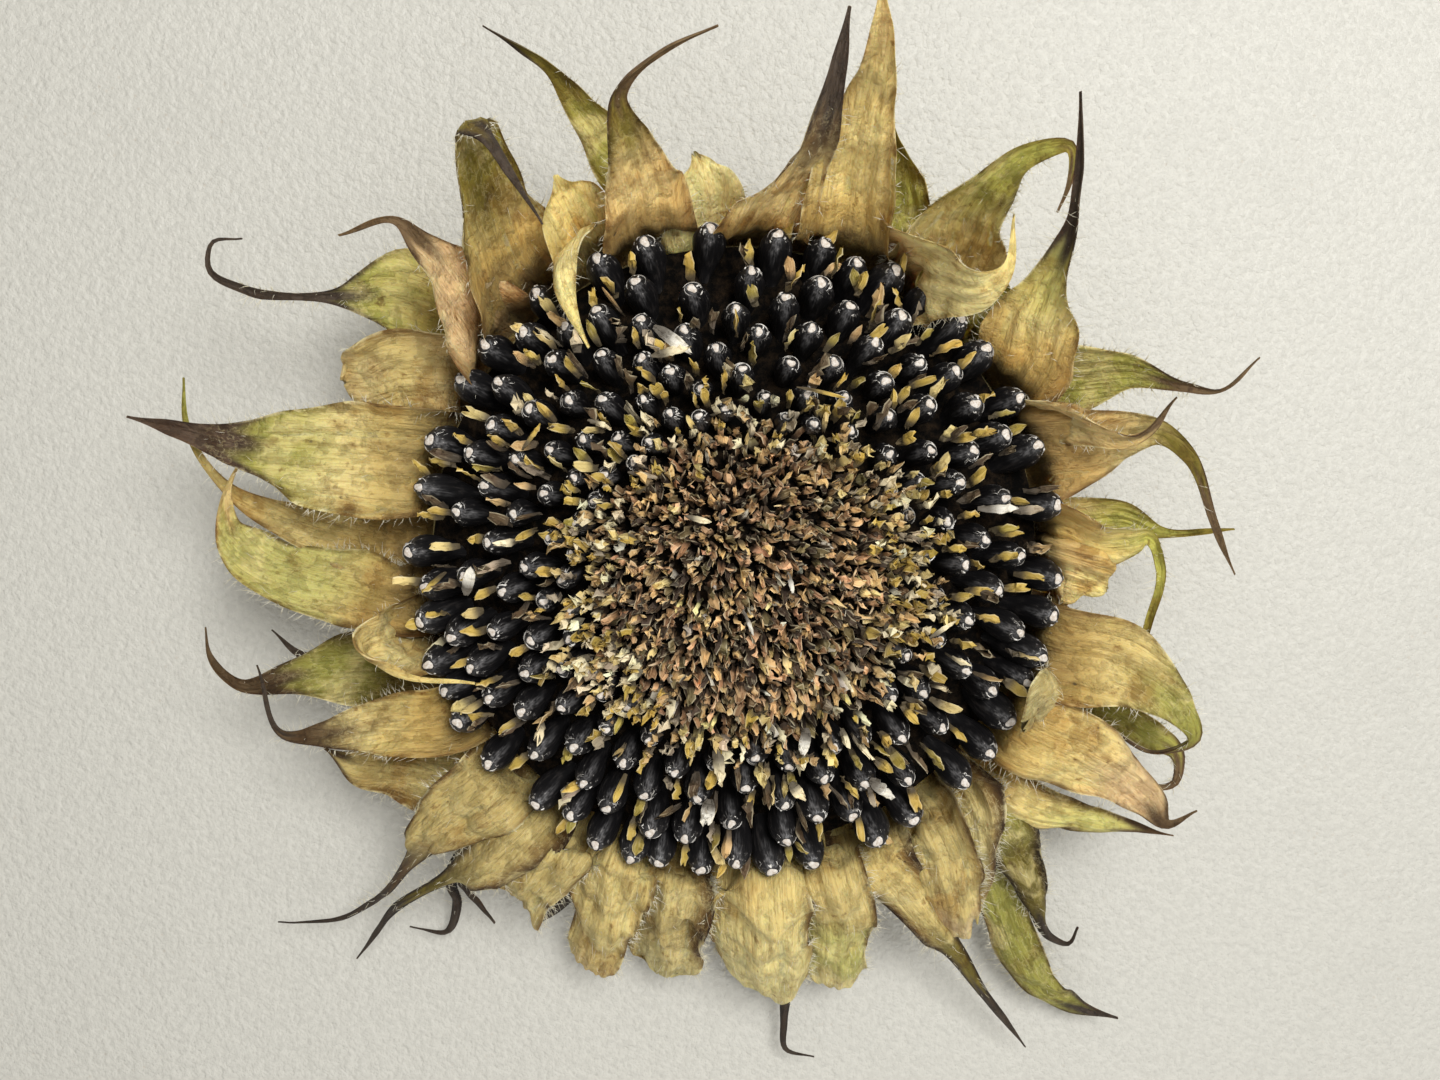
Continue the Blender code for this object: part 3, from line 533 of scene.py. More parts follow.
class Finish:
    """A material that is put together from nodes."""

    def __init__(self, name):
        self.material = bpy.data.materials.new(name)
        self.material.use_nodes = True
        self.tree = self.material.node_tree
        self.shader = self.tree.nodes["Principled BSDF"]

    def node(self, kind, settings, *values, output=0, **named):
        """A new node: its settings first, then the values or links of its sockets, in order or by name."""
        node = self.tree.nodes.new(kind)
        for name, setting in settings.items():
            setattr(node, name, setting)
        sockets = [socket for socket in node.inputs if socket.enabled]
        pairs = list(zip(sockets, values))
        pairs += [(node.inputs[name.title()], value) for name, value in named.items()]
        self.fill(pairs)
        outputs = [socket for socket in node.outputs if socket.enabled]
        return Value(self, outputs[output])

    def fill(self, pairs):
        """Links or sets each socket of the pairs."""
        for socket, value in pairs:
            if isinstance(value, Value):
                self.tree.links.new(value.socket, socket)
            else:
                socket.default_value = value

    def attribute(self, name, output):
        """The output of this index of a value that the mesh carries."""
        return self.node("ShaderNodeAttribute", {"attribute_name": name}, output=output)

    def colour(self, name):
        """A colour that the mesh carries."""
        return self.attribute(name, 0)

    def vector(self, name):
        """A vector that the mesh carries."""
        return self.attribute(name, 1)

    def number(self, name):
        """A number that the mesh carries."""
        return self.attribute(name, 2)

    def stretched(self, vector, scale):
        """The vector scaled by a number for each axis, so that a noise comes out long and narrow."""
        return self.node("ShaderNodeVectorMath", {"operation": "MULTIPLY"}, vector, scale)

    def turned(self, vector):
        """The vector turned off the axes, so that a noise shows no rows."""
        settings = {"rotation_type": "EULER_XYZ"}
        return self.node("ShaderNodeVectorRotate", settings, vector, rotation=(0.6, 0.4, 0.5))

    def part(self, vector, axis):
        """One number of the vector."""
        return self.node("ShaderNodeSeparateXYZ", {}, vector, output=axis)

    def noise(self, vector, scale, detail=3.0, rough=0.55):
        """Soft noise of about 0.5 on average."""
        values = {"vector": vector, "scale": scale, "detail": detail, "roughness": rough}
        return self.node("ShaderNodeTexNoise", {}, **values)

    def cells(self, vector, scale):
        """How far each point is from its nearest cell centre."""
        return self.node("ShaderNodeTexVoronoi", {}, vector=vector, scale=scale)

    def blend(self, share, a, b, mode="MIX"):
        """Colour a turned into colour b by the share."""
        a, b = ((*c, 1) if isinstance(c, tuple) and len(c) == 3 else c for c in (a, b))
        settings = {"data_type": "RGBA", "blend_type": mode, "clamp_factor": True}
        return self.node("ShaderNodeMix", settings, share, a, b)

    def layers(self, base, *layers):
        """The base colour with layers over it, each a share, a colour and, if it isn't MIX, a mode."""
        for share, colour, *mode in layers:
            base = self.blend(share, base, colour, *mode)
        return base

    def bump(self, height, depth, strength=1.0):
        """The normal of a surface that is raised by the height, to this depth in metres."""
        values = {"strength": strength, "distance": depth, "height": height}
        return self.node("ShaderNodeBump", {}, **values)

    def set(self, **inputs):
        """Sets or links the shader's sockets."""
        for name, value in inputs.items():
            title = name.replace("_", " ").title().replace("Ior", "IOR")
            self.fill([(self.shader.inputs[title], value)])
        return self.material


def bract_finish():
    """Dry bract: ribs and wrinkles along it, mottled patches, a few dark specks, painted shade in its
    creases, pale edges with a painted highlight, and a root that is partly its own brown and partly painted
    shade.
    """
    finish = Finish("dry_bract")
    grain = finish.vector("grain")
    fine = finish.noise(finish.stretched(grain, (1.9, 0.4, 1)), 1.0, 5.0, 0.65)
    ridges = abs(finish.noise(finish.stretched(grain, (0.7, 0.06, 1)), 1.0, 3.0, 0.5) * 2 - 1)
    creases = finish.noise(finish.stretched(grain, (0.45, 0.3, 1)), 1.0, 7.0, 0.66)
    folds = abs(creases * 2 - 1)
    mottle = finish.noise(grain, 0.1, 6.0, 0.6)
    blotches = finish.noise(finish.stretched(grain, (0.3, 0.14, 1)), 1.0, 6.0, 0.62)
    specks = finish.cells(grain, 0.26)
    edge, root, broad = (finish.number(name) for name in ("edge", "root", "broad"))

    spots = specks.rise(0.11, 0.06) * blotches.rise(0.58, 0.61) * broad
    dark_edges = edge.rise(0.8, 1.0) * blotches.rise(0.47, 0.56)
    # pale edges: partly the bract's own pale margin, partly a painted highlight on its curled rim
    pale_edges_and_highlight = edge.rise(0.92, 1.0) * blotches.rise(0.52, 0.44) * broad
    base = finish.layers(
        finish.colour("tint"),
        (mottle.rise(0.54, 0.66) * 0.75, (0.6, 0.46, 0.29), "MULTIPLY"),
        (mottle.rise(0.47, 0.36) * broad * 0.4, (0.95, 0.8, 0.36)),
        (blotches.rise(0.55, 0.68) * 0.7, (0.46, 0.37, 0.27), "MULTIPLY"),
        (ridges.rise(0.09, 0.0) * 0.4, (0.6, 0.5, 0.38), "MULTIPLY"),
        (fine.rise(0.54, 0.72) * broad * 0.25, (0.93, 0.8, 0.44)),
        (fine.rise(0.43, 0.28) * 0.45, (0.6, 0.48, 0.34), "MULTIPLY"),
        (folds.rise(0.05, 0.0) * broad * 0.2, (0.93, 0.8, 0.42)),
        # painted shade in the dents of the creases, which the bump also sinks
        (creases.rise(0.41, 0.3) * 0.85, (0.42, 0.31, 0.2), "MULTIPLY"),
        (dark_edges * 0.8, (0.4, 0.32, 0.24), "MULTIPLY"),
        (pale_edges_and_highlight * 0.7, (0.92, 0.8, 0.46)),
        # towards the root: partly the bract's own brown base, partly painted shade where it meets the seeds
        (root.rise(0.02, 0.55) * 0.85, (0.72, 0.61, 0.44), "MULTIPLY"),
        (root.rise(0.35, 1.0) * mottle.rise(0.72, 0.36), (0.19, 0.12, 0.045)),
        (spots * 0.7, (0.04, 0.028, 0.018)),
    )
    relief = ridges * 0.7 + fine * 0.4 + folds * 0.8 + creases * 1.2 + mottle * 1.5
    return finish.set(
        base_color=base,
        roughness=0.6 + creases * 0.2,
        specular_ior_level=0.35,
        normal=finish.bump(relief, 1.1 * MM, 1.0),
        subsurface_weight=0.35,
        subsurface_radius=(1.0, 0.7, 0.35),
        subsurface_scale=0.6 * MM,
    )


def hair_finish():
    """Pale, slightly uneven hair."""
    finish = Finish("bract_hair")
    tone = finish.noise(finish.vector("grain"), 0.8, 2.0)
    base = finish.blend(tone.rise(0.35, 0.65), (0.72, 0.66, 0.46), (0.86, 0.82, 0.68))
    return finish.set(base_color=base, roughness=0.55 + tone * 0.15)


def receptacle_finish():
    """The woody plate's back: green-brown, with radial ribs and a pale, pithy cut stem."""
    finish = Finish("dry_receptacle")
    grain = finish.vector("grain")
    pith = finish.number("pith")
    ribs = finish.noise(finish.stretched(grain, (1.4, 0.12, 1)), 1.0, 5.0, 0.6)
    patches = finish.noise(grain, 0.16, 4.0, 0.6)
    sponge = finish.cells(grain, 2.2)
    base = finish.layers(
        finish.blend(ribs.rise(0.35, 0.7), (0.2, 0.155, 0.06), (0.5, 0.41, 0.19)),
        (patches.rise(0.45, 0.7) * 0.6, (0.22, 0.2, 0.07)),
        (patches.rise(0.45, 0.3) * 0.5, (0.13, 0.08, 0.035)),
        (pith, finish.blend(sponge.rise(0.1, 0.5), (0.44, 0.36, 0.22), (0.74, 0.68, 0.53))),
    )
    return finish.set(
        base_color=base,
        roughness=0.68 + ribs * 0.15,
        normal=finish.bump(ribs + sponge * pith, 0.5 * MM, 0.9),
    )


def seed_finish(shell, scar):
    """Black shell with streaks along it, a painted grey sheen in a band on its inner side, and a pale scar
    at its end.
    """
    finish = Finish("black_seed")
    grain = finish.vector("grain")
    across, through, below = (finish.part(grain, axis) for axis in range(3))
    scatter = finish.vector("place")
    patches = finish.noise(scatter, 0.5, 3.0)
    shreds = finish.noise(scatter, 2.4, 3.0, 0.6)
    streaks = finish.noise(finish.stretched(grain, (2.2, 2.2, 0.2)), 1.0, 4.0, 0.6)
    scar_share = finish.number("scar").rise(0.35, 0.65)
    # painted sheen: a soft grey band along the seed's inner side, for reflected light
    painted_sheen = abs(across + patches * 1.4 - 0.7).rise(1.0, 0.1)
    painted_sheen = painted_sheen * through.rise(0.0, 1.0) * below.rise(-8.0, -2.5)
    trails = streaks.rise(0.6, 0.68) * below.rise(-6.5, -0.6) * shreds.rise(0.46, 0.6)
    base = finish.layers(
        finish.blend(streaks.rise(0.5, 0.72) * 0.5, (*shell, 1), (0.06, 0.052, 0.048)),
        (painted_sheen * streaks.rise(0.35, 0.6) * 0.85, (0.15, 0.145, 0.145)),
        (trails * 0.8, (0.5, 0.48, 0.45)),
        (scar_share, finish.blend(shreds.rise(0.3, 0.7), (*scar, 1), (0.5, 0.42, 0.34))),
    )
    return finish.set(
        base_color=base,
        roughness=0.28 + streaks * 0.22 + scar_share * 0.35,
        specular_ior_level=0.55,
        normal=finish.bump(streaks + scar_share * 0.8, 0.14 * MM, 0.9),
    )


def fibre_finish():
    """Torn white to grey fibres."""
    finish = Finish("seed_fibre")
    tone = finish.noise(finish.vector("grain"), 0.5, 2.0)
    base = finish.blend(tone.rise(0.42, 0.6), (0.3, 0.28, 0.25), (0.85, 0.82, 0.76))
    return finish.set(base_color=base, roughness=0.6 + tone * 0.15)


def bed_finish():
    """The cloddy floor between the seeds, nearly black: partly the dark seeds and chaff deep down, partly
    painted shade between the seeds.
    """
    finish = Finish("seed_bed")
    grain = finish.vector("grain")
    clods = finish.noise(grain, 0.6, 5.0, 0.65)
    # nearly black: partly the dark seeds and chaff deep down, partly painted shade between the seeds
    base = finish.blend(clods.rise(0.4, 0.75), (0.002, 0.0017, 0.0014), (0.024, 0.015, 0.008))
    return finish.set(
        base_color=base,
        roughness=0.85 + clods * 0.1,
        specular_ior_level=0.08,
        normal=finish.bump(clods, 1.2 * MM),
    )


def scale_finish(name, vein=0.4, gloss=0.0, root=(0.07, 0.055, 0.038)):
    """Thin dry scales: their own tint, darker veins along them, a paler edge and painted shade towards the
    root, down among the seeds.
    """
    finish = Finish(name)
    grain = finish.vector("grain")
    lines = finish.noise(finish.stretched(grain, (3.2, 0.35, 1)), 1.0, 4.0, 0.6)
    spots = finish.noise(grain, 0.9, 4.0, 0.6)
    along, edge = finish.number("along"), finish.number("edge")
    base = finish.layers(
        finish.colour("tint"),
        (lines.rise(0.5, 0.3) * vein, (0.07, 0.045, 0.015)),
        (lines.rise(0.52, 0.72) * vein * 0.7, (0.8, 0.68, 0.42)),
        (spots.rise(0.56, 0.68) * 0.6, (0.45, 0.36, 0.26), "MULTIPLY"),
        (edge.rise(0.75, 1.0) * along.rise(0.4, 0.8) * 0.4, (0.85, 0.75, 0.5)),
        # painted shade: the root colour towards the root, down among the seeds and florets
        (along.rise(0.72, 0.25) * 0.92, root),
    )
    return finish.set(
        base_color=base,
        roughness=0.6 - gloss + spots * 0.2,
        specular_ior_level=0.4,
        normal=finish.bump(lines + spots * 0.6, 0.16 * MM, 0.9),
    )


def floor_finish(colour):
    """Pale board with a faint crumpled skin."""
    finish = Finish("pale_board")
    place = finish.node("ShaderNodeTexCoord", {}, output=3)
    skin = finish.noise(finish.turned(place), 900, 3.0, 0.6)
    pores = finish.cells(place, 420)
    worn = finish.noise(place, 22, 5.0, 0.65)
    light, dim, dull = (tuple(level * c for c in colour) for level in (1.04, 0.95, 0.9))
    base = finish.layers(
        finish.blend(skin.rise(0.36, 0.64), light, dim),
        (worn.rise(0.5, 0.75) * 0.35, dull),
        (pores.rise(0.16, 0.08) * worn.rise(0.5, 0.6) * 0.4, (0.5, 0.44, 0.36)),
    )
    return finish.set(
        base_color=base,
        roughness=0.34 + skin * 0.2,
        normal=finish.bump(skin + pores * 0.3, 0.6 * MM, 0.9),
    )


# ---- bracts ----


def polar(radius, azimuth, height, width):
    """The x, y, height and width of a point on a bract."""
    angle = math.radians(azimuth)
    return (radius * math.cos(angle), radius * math.sin(angle), height, width)


def bract_line(growth, stations):
    """Even rows of (x, y, z, width) along the smooth line of the part's bract, and its length."""
    azimuth, width = stations[0][1], stations[0][3]
    roots = [polar(r, azimuth, z, width * share) for (r, z), share in zip(growth, ROOT_WIDTHS)]
    points = np.array(roots + [polar(*station) for station in stations])
    chords = np.diff(points, axis=0)
    spans = np.linalg.norm(chords[:, :3], axis=1)
    rates = chords / spans[:, None]
    shares = (spans[:-1] / (spans[:-1] + spans[1:]))[:, None]
    slopes = np.concatenate([rates[:1], rates[:-1] * (1 - shares) + rates[1:] * shares, rates[-1:]])
    t = np.linspace(0, 1, LINE_STEPS, endpoint=False)[:, None]
    pieces = [
        points[i] * (2 * t**3 - 3 * t**2 + 1) + slopes[i] * (t**3 - 2 * t**2 + t) * spans[i]
        + points[i + 1] * (3 * t**2 - 2 * t**3) + slopes[i + 1] * (t**3 - t**2) * spans[i]
        for i in range(len(spans))
    ]
    line = np.concatenate([*pieces, points[-1:]])
    length = np.concatenate([[0], np.cumsum(np.linalg.norm(np.diff(line[:, :3], axis=0), axis=1))])
    even = np.linspace(0, length[-1], BRACT_ROWS)
    return np.stack([np.interp(even, length, line[:, k]) for k in range(4)], axis=1), length[-1]


def carried_frames(centres):
    """Directions along, across and up at each row, carried along the line without twisting."""
    along = unit(np.gradient(centres, axis=0))
    side = np.array([-centres[0, 1], centres[0, 0], 0.0])
    sides = []
    for direction in along:
        side = side - direction * side.dot(direction)
        side = side / np.linalg.norm(side)
        sides.append(side)
    sides = np.array(sides)
    return along, sides, np.cross(along, sides)


def creases(rng, x, run, count, length):
    """Sharp ridges and dents along straight lines across a bract, as in paper that was crumpled."""
    total = 0.0
    for _ in range(count):
        angle = rng.uniform(0, math.pi)
        away = x * math.cos(angle) + (run - rng.uniform(0.25, 0.8) * length) * math.sin(angle)
        away = away + rng.uniform(-3, 3)
        total = total + rng.uniform(-1, 1) * np.exp(-np.abs(away) / rng.uniform(1.2, 3.2))
    return total


def in_front(centres):
    """1 for a bract at the front of the head, 0 for one at its sides or back."""
    return float(smooth(*FRONT_BETWEEN, centres[BRACT_ROWS // 2, 1]))


def widened(name, line, share):
    """A bract's middle line and its width at each row. A blunt one stays wide and droops at its end."""
    centres = line[:, :3]
    width = np.maximum(line[:, 3], LEAST_WIDTH) * mix((0.3, 1), smooth(1, 0.88, share))
    if name in BLUNT_BRACTS:
        end = np.clip((share - BLUNT_FROM) / (1 - BLUNT_FROM), 0, 1)
        blunt = np.interp(BLUNT_FROM, share, line[:, 3]) * np.sqrt(1 - 0.97 * end**6)
        width = np.where(end > 0, blunt, width)
        centres = centres - np.array([0, 0, BLUNT_DROP]) * (end**2)[:, None]
    return centres, width


def shaped_bract(name, settings):
    """A bract's middle surface and up directions, and its share, place across, width and run there."""
    growth, *stations = BRACTS[name]
    fray = BRACT_LOOKS[name][6]
    number = list(BRACTS).index(name)
    rng = np.random.default_rng(number + 40)
    line, length = bract_line(growth, stations)
    share = np.linspace(0, 1, BRACT_ROWS)
    centres, width = widened(name, line, share)
    along, side, up = carried_frames(centres)
    share, wide = share[:, None], width[:, None]
    side, up = turned_over(side, up, BRACT_TURNS.get(name, 0) * smooth(0.15, 0.4, share))
    across = np.linspace(-1, 1, TOP_COLUMNS)[None, :]
    run = share * length
    front = in_front(centres)

    # the hidden root stays plain, and so does most of the thin tail
    seen = smooth(VISIBLE_FROM - 0.08, VISIBLE_FROM + 0.12, share)
    slender = smooth(7.0, 2.0, wide)
    body = seen * (1 - 0.7 * slender)
    half = wide / 2 * (1 + 0.06 * seen * ruffle(rng, across * 3, run, 2.5, 7))
    x = across * half

    # cupped, or bulged like a pillow in front, and lifted over its neighbours
    pillow = mix((-2.1, -0.9), smooth(0.7, 1, share))
    cup = rng.uniform(0.1, 0.17) * mix((0.45, mix((1, pillow), front)), seen) * (1 + 1.4 * slender)
    height = wide * cup * np.abs(across) ** 1.5
    raised = mix((-0.5, 1), number % 2) + 0.13 * wide * across
    lifted = smooth(VISIBLE_FROM - 0.1, VISIBLE_FROM + 0.2, share)
    height = height + settings.overlap / MM * raised * lifted * (1 - slender)

    # each edge curled in its own way
    for edge in (-1, 1):
        rolled = np.clip(edge * across - 0.55, 0, 1) ** 2
        curl = rng.uniform(-0.5, 0.9) + 0.8 * ruffle(rng, 0 * share, run, 5, 16, 4)
        height = height + wide * rolled * curl * 0.75 * seen * (1 - slender)

    # folds along it, wrinkles of three sizes, sharp creases and wavy edges
    folds = np.cos(math.pi * rng.integers(3, 6) * across + rng.uniform(0, math.tau) + 0.6 * np.sin(run / 9))
    height = height + 0.022 * wide * folds * body
    wrinkles = 0.0
    for depth, wave_width, wave_length in ((0.8, 5.5, 9), (0.3, 2.1, 4.5), (0.15, 1.1, 2.6)):
        wrinkles = wrinkles + depth * ruffle(rng, x, run, wave_width, wave_length)
    wrinkles = wrinkles + 1.5 * creases(rng, x, run, 14, length)
    height = height + settings.crumple / MM * mix((1, 1.9), front) * body * wrinkles
    height = height + 0.05 * wide * np.abs(across) ** 3 * ruffle(rng, across * 4, run, 3, 4.5) * seen

    # a twisted tail and a frayed, rounded end
    twist = rng.uniform(-1, 1) * 0.8 * slender * smooth(0.5, 1, share)
    x, height = x * np.cos(twist) - height * np.sin(twist), x * np.sin(twist) + height * np.cos(twist)
    ends = fray * smooth(0.9, 1, share) * ruffle(rng, across * 6, run * 0, 1.1, 1, 5)
    ends = ends - 0.22 * wide * smooth(0.97, 1, share) * across**2
    surface = (
        centres[:, None] + side[:, None] * x[..., None] + up[:, None] * height[..., None]
        + along[:, None] * ends[..., None]
    )
    return surface, up[:, None] + 0 * surface, share + 0 * across, across + 0 * share, width, run


def bract_tint(name, share, across, colours):
    """The bract's own colour at each point, from its body to its neck and tip."""
    body, neck, tip, neck_from, tip_from = BRACT_LOOKS[name][:5]
    body, neck, tip = (np.array(getattr(colours, colour)) for colour in (body, neck, tip))
    place = (share - VISIBLE_FROM) / (1 - VISIBLE_FROM)
    wander = 0.05 * np.sin(5 * across + 3 * share) + 0.05 * np.abs(across)
    to_neck = smooth(neck_from - 0.14, neck_from + 0.14, place + wander)[..., None]
    to_tip = smooth(tip_from - 0.07, tip_from + 0.07, place + wander)[..., None]
    tint = body * (1 - to_neck) + neck * to_neck
    return tint * (1 - to_tip) + tip * to_tip


def row_of(name):
    """The row of the head that the bract grows in."""
    return {INNER: "inner", MIDDLE: "middle", OUTER: "outer"}[BRACTS[name][0]]


def add_bract_row(row, settings, finish):
    """All the bracts of one row of the head, as one piece."""
    gathered = Gathered()
    for number, name in enumerate(BRACTS):
        if row_of(name) != row:
            continue
        surface, up, share, across, width, run = shaped_bract(name, settings)
        wide, edge = width[:, None], np.abs(across)
        thin = 1 - 0.5 * edge**2
        thickness = settings.thickness / MM * thin * mix((1.3, 0.9), smooth(0.6, 1, share))
        front = in_front(surface[:, TOP_COLUMNS // 2])
        place = (share - VISIBLE_FROM) / (1 - VISIBLE_FROM)

        # painted shadow in the gaps between bracts: darker in front, and wider beside every other bract
        wide_gap_shadow, thin_gap_shadow = 0.9 * smooth(0.4, 0.95, edge), 0.75 * smooth(0.8, 1, edge)
        gap = mix((wide_gap_shadow, thin_gap_shadow), number % 2) * smooth(0.95, 0.7, share) * mix((0.35, 1), front)
        tint = bract_tint(name, share, across, settings.colours)
        # front_shade darkens the front bracts: partly their own darker colour, partly painted shade of their
        # creases and hollows
        tint = tint * ((1 - settings.front_shade * front) * BRACT_SHADES.get(name, 1))
        values = {
            "tint": tint * (1 - gap)[..., None] ** GAP_SHADOW_TINT,
            "grain": np.stack(
                [across * wide / 2, run + 0 * across, BRACT_GRAIN_STEP * number + 0 * across], axis=-1
            ),
            "edge": edge,
            # how near the root the bract is, for its brown base and the painted shade where it meets the
            # seeds, less in front
            "root": smooth(0.42, -0.04, place) * mix((1, 0.2), front),
            "broad": smooth(3, 6, wide) + 0 * across,
        }
        gathered.add(
            flat_tube(surface[None], up[None], thickness[None], UNDERSIDE_SKIP),
            **{key: along_flat_tube(value[None], UNDERSIDE_SKIP) for key, value in values.items()},
        )
    return gathered.make(f"bracts_{row}", finish, "receptacle_and_bracts", sharp=60)


def add_bract_hairs(settings):
    """Fine pale hairs on the edges and backs of the bracts, more on the green ones."""
    rng = np.random.default_rng(77)
    roots, directions = [], []
    for name in BRACTS:
        surface, up, *_ = shaped_bract(name, settings)
        count = int(settings.hairs * BRACT_LOOKS[name][5])
        first, last = HAIRS_BETWEEN
        if name in BLUNT_BRACTS:
            last = BLUNT_HAIRS_TO
        rows = rng.integers(int(BRACT_ROWS * first), int(BRACT_ROWS * last), count)
        on_edge = rng.random(count) < HAIRS_ON_EDGES
        columns = np.where(
            on_edge, rng.choice([0, TOP_COLUMNS - 1], count), rng.integers(0, TOP_COLUMNS, count)
        )
        outwards = unit(surface[rows, columns] - surface[rows, TOP_COLUMNS // 2] + 1e-6)
        along = unit(surface[np.minimum(rows + 1, BRACT_ROWS - 1), columns] - surface[rows, columns])
        tilt, face = rng.uniform(-0.5, 0.9, count), rng.choice([-1, 1], count, p=(0.7, 0.3))
        above = up[rows, columns] * np.where(on_edge, tilt, face)[:, None]
        lean = outwards * on_edge[:, None] + above + along * rng.uniform(0, 0.9, count)[:, None]
        roots.append(surface[rows, columns])
        directions.append(unit(lean + rng.normal(0, 0.25, (count, 3))))
    roots, directions = np.concatenate(roots), np.concatenate(directions)
    count = len(roots)
    length = rng.uniform(0.6, 2.0, (count, 1))
    droop = rng.normal(0, 0.3, (count, 3))
    steps = np.linspace(0, 1, 3)
    centres = np.stack([roots + length * (directions * t + droop * t * t) for t in steps], axis=1)
    radius = settings.hair_radius / MM * np.array([1, 0.8, 0.2]) * np.ones((count, 1))
    points = thread_tubes(centres, radius, rng.normal(0, 1, (count, 3)))
    gathered = Gathered()
    gathered.add(points, grain=points)
    return gathered.make("bract_hairs", hair_finish(), "receptacle_and_bracts", sharp=180)


# ---- receptacle ----


def add_receptacle(settings):
    """The plate that carries the head, with a ribbed back, and the cut stem under it."""
    rng = np.random.default_rng(3)
    outline = np.array(PLATE_OUTLINE)
    plain, height = outline[:, :1], outline[:, 1:]
    angle = -np.arange(PLATE_SIDES) * math.tau / PLATE_SIDES
    flank = smooth(12.5, 26, plain)
    ribs = np.abs(np.sin(17 * angle + 0.7 * np.sin(3 * angle) + plain / 16)) - 0.5
    shift = settings.rib_depth / MM * flank * ribs + 0.5 * flank * ruffle(rng, angle * 30, plain, 5, 9)
    stem = smooth(11.8, 12.5, plain) * smooth(20, 13, plain)
    radius = plain + stem * (0.35 * np.sin(10 * angle) + 0.2 * np.sin(23 * angle + 1)) - 0.4 * shift
    low = height + np.where(height > 5, shift, 0) + 0.15 * (plain < 9) * np.sin(9 * angle + radius)
    points = np.stack([radius * np.cos(angle), radius * np.sin(angle), np.maximum(low, 0)], axis=-1)
    grain = np.stack([angle * np.maximum(radius, 8), radius + height, 0 * angle + 0 * radius], axis=-1)
    inside = smooth(9.4, 8.6, plain) * (height < 1) + 0 * angle
    gathered = Gathered()
    gathered.add(points[None], grain=grain[None], pith=inside[None])
    return gathered.make("receptacle_plate", receptacle_finish(), "receptacle_and_bracts", sharp=50)


# ---- seeds and chaff ----


def face_height(radius):
    """The height of the domed face that the seed tips lie on."""
    return FACE_TOP - FACE_DROP * (radius / FACE_RADIUS) ** FACE_CURVE


def floret_height(off):
    """The height of the florets' dome at this share of its radius."""
    return FLORET_TOP - FLORET_DROP * off**2


def off_florets(spot):
    """Whether a seed at this flat spot is clear of the florets."""
    return math.dist(spot, FLORET_CENTRE) > FLORET_RADIUS + FLORET_CLEARANCE


def seed_share(radius):
    """The share of the way from the innermost seeds to the rim."""
    return np.clip((radius - SEED_ROOT_RADII[0]) / (SEED_ROOT_RADII[1] - SEED_ROOT_RADII[0]), 0, 1)


def bed_at(radius):
    """The height where the visible part of the seeds begins, and their lean there."""
    share = seed_share(radius)
    lean, shown = np.radians(mix(SEED_TILT, share)), mix(SEED_SHOWN, share)
    return face_height(radius + shown * np.sin(lean)) - shown * np.cos(lean), lean


def above_bed(spots, height):
    """Points this high above the bed at flat spots, along the outward lean that the seeds have there."""
    radius = np.linalg.norm(spots, axis=1)
    bed, lean = bed_at(radius)
    flat = spots / radius[:, None] * (radius + height * np.sin(lean))[:, None]
    return np.column_stack([flat, bed + height * np.cos(lean)])


def seed_centres():
    """Golden-angle spots whose pitch grows outwards, left out where the florets are, as in the part."""
    rng = random.Random(5)
    radius, last = SEED_ROOT_RADII
    index, centres = 0, []
    while radius < last:
        angle = index * GOLDEN_ANGLE + rng.uniform(-0.02, 0.02)
        spot = (radius * math.cos(angle), radius * math.sin(angle))
        if off_florets(spot):
            centres.append(spot)
        pitch = mix(SEED_PITCH, float(seed_share(radius)))
        radius += HEXAGON_SHARE * pitch**2 / (2 * math.pi * radius)
        index += 1
    return np.array(centres)


def pushed_to_rim(spots):
    """The outermost seeds moved out to the rim, so that they meet the bracts."""
    radius, angle = np.linalg.norm(spots, axis=1), np.arctan2(spots[:, 1], spots[:, 0])
    turned = np.abs((angle[:, None] - angle[None] + math.pi) % math.tau - math.pi)
    beside = turned * radius[:, None] < 0.5 * SEED_PITCH[1]
    hidden = (beside & (radius[None] > radius[:, None] + 1.5)).any(axis=1)
    reach = np.where(hidden | (radius < 40), radius, np.maximum(radius, SEED_ROOT_RADII[1]))
    return spots / radius[:, None] * reach[:, None]


def bent_line(tip, outwards, lean_root, lean_tip, length, steps):
    """Centres and directions of rows that end at the tip, with a lean that changes along them."""
    lean = lean_root[:, None] + (lean_tip - lean_root)[:, None] * steps[None]
    direction = outwards[:, None] * np.sin(lean)[..., None] + np.array([0, 0, 1]) * np.cos(lean)[..., None]
    pace = np.gradient(steps)[None, :, None] * length[:, None, None]
    run = np.cumsum(direction * pace, axis=1)
    return tip[:, None] - run[:, -1:] + run, direction


def seed_spots():
    """Flat spots of all the seeds: the part's own, the outermost at the rim, and more in the wide gaps."""
    spots = pushed_to_rim(seed_centres())
    for radius in np.arange(SEED_ROOT_RADII[1], SEED_ROOT_RADII[0], -0.5):
        room = SEED_ROOM * mix(SEED_PITCH, float(seed_share(radius)))
        for angle in np.arange(0, math.tau, 0.5 / radius):
            spot = np.array([radius * math.cos(angle), radius * math.sin(angle)])
            if off_florets(spot) and np.linalg.norm(spots - spot, axis=1).min() > room:
                spots = np.vstack([spots, spot])
    return spots


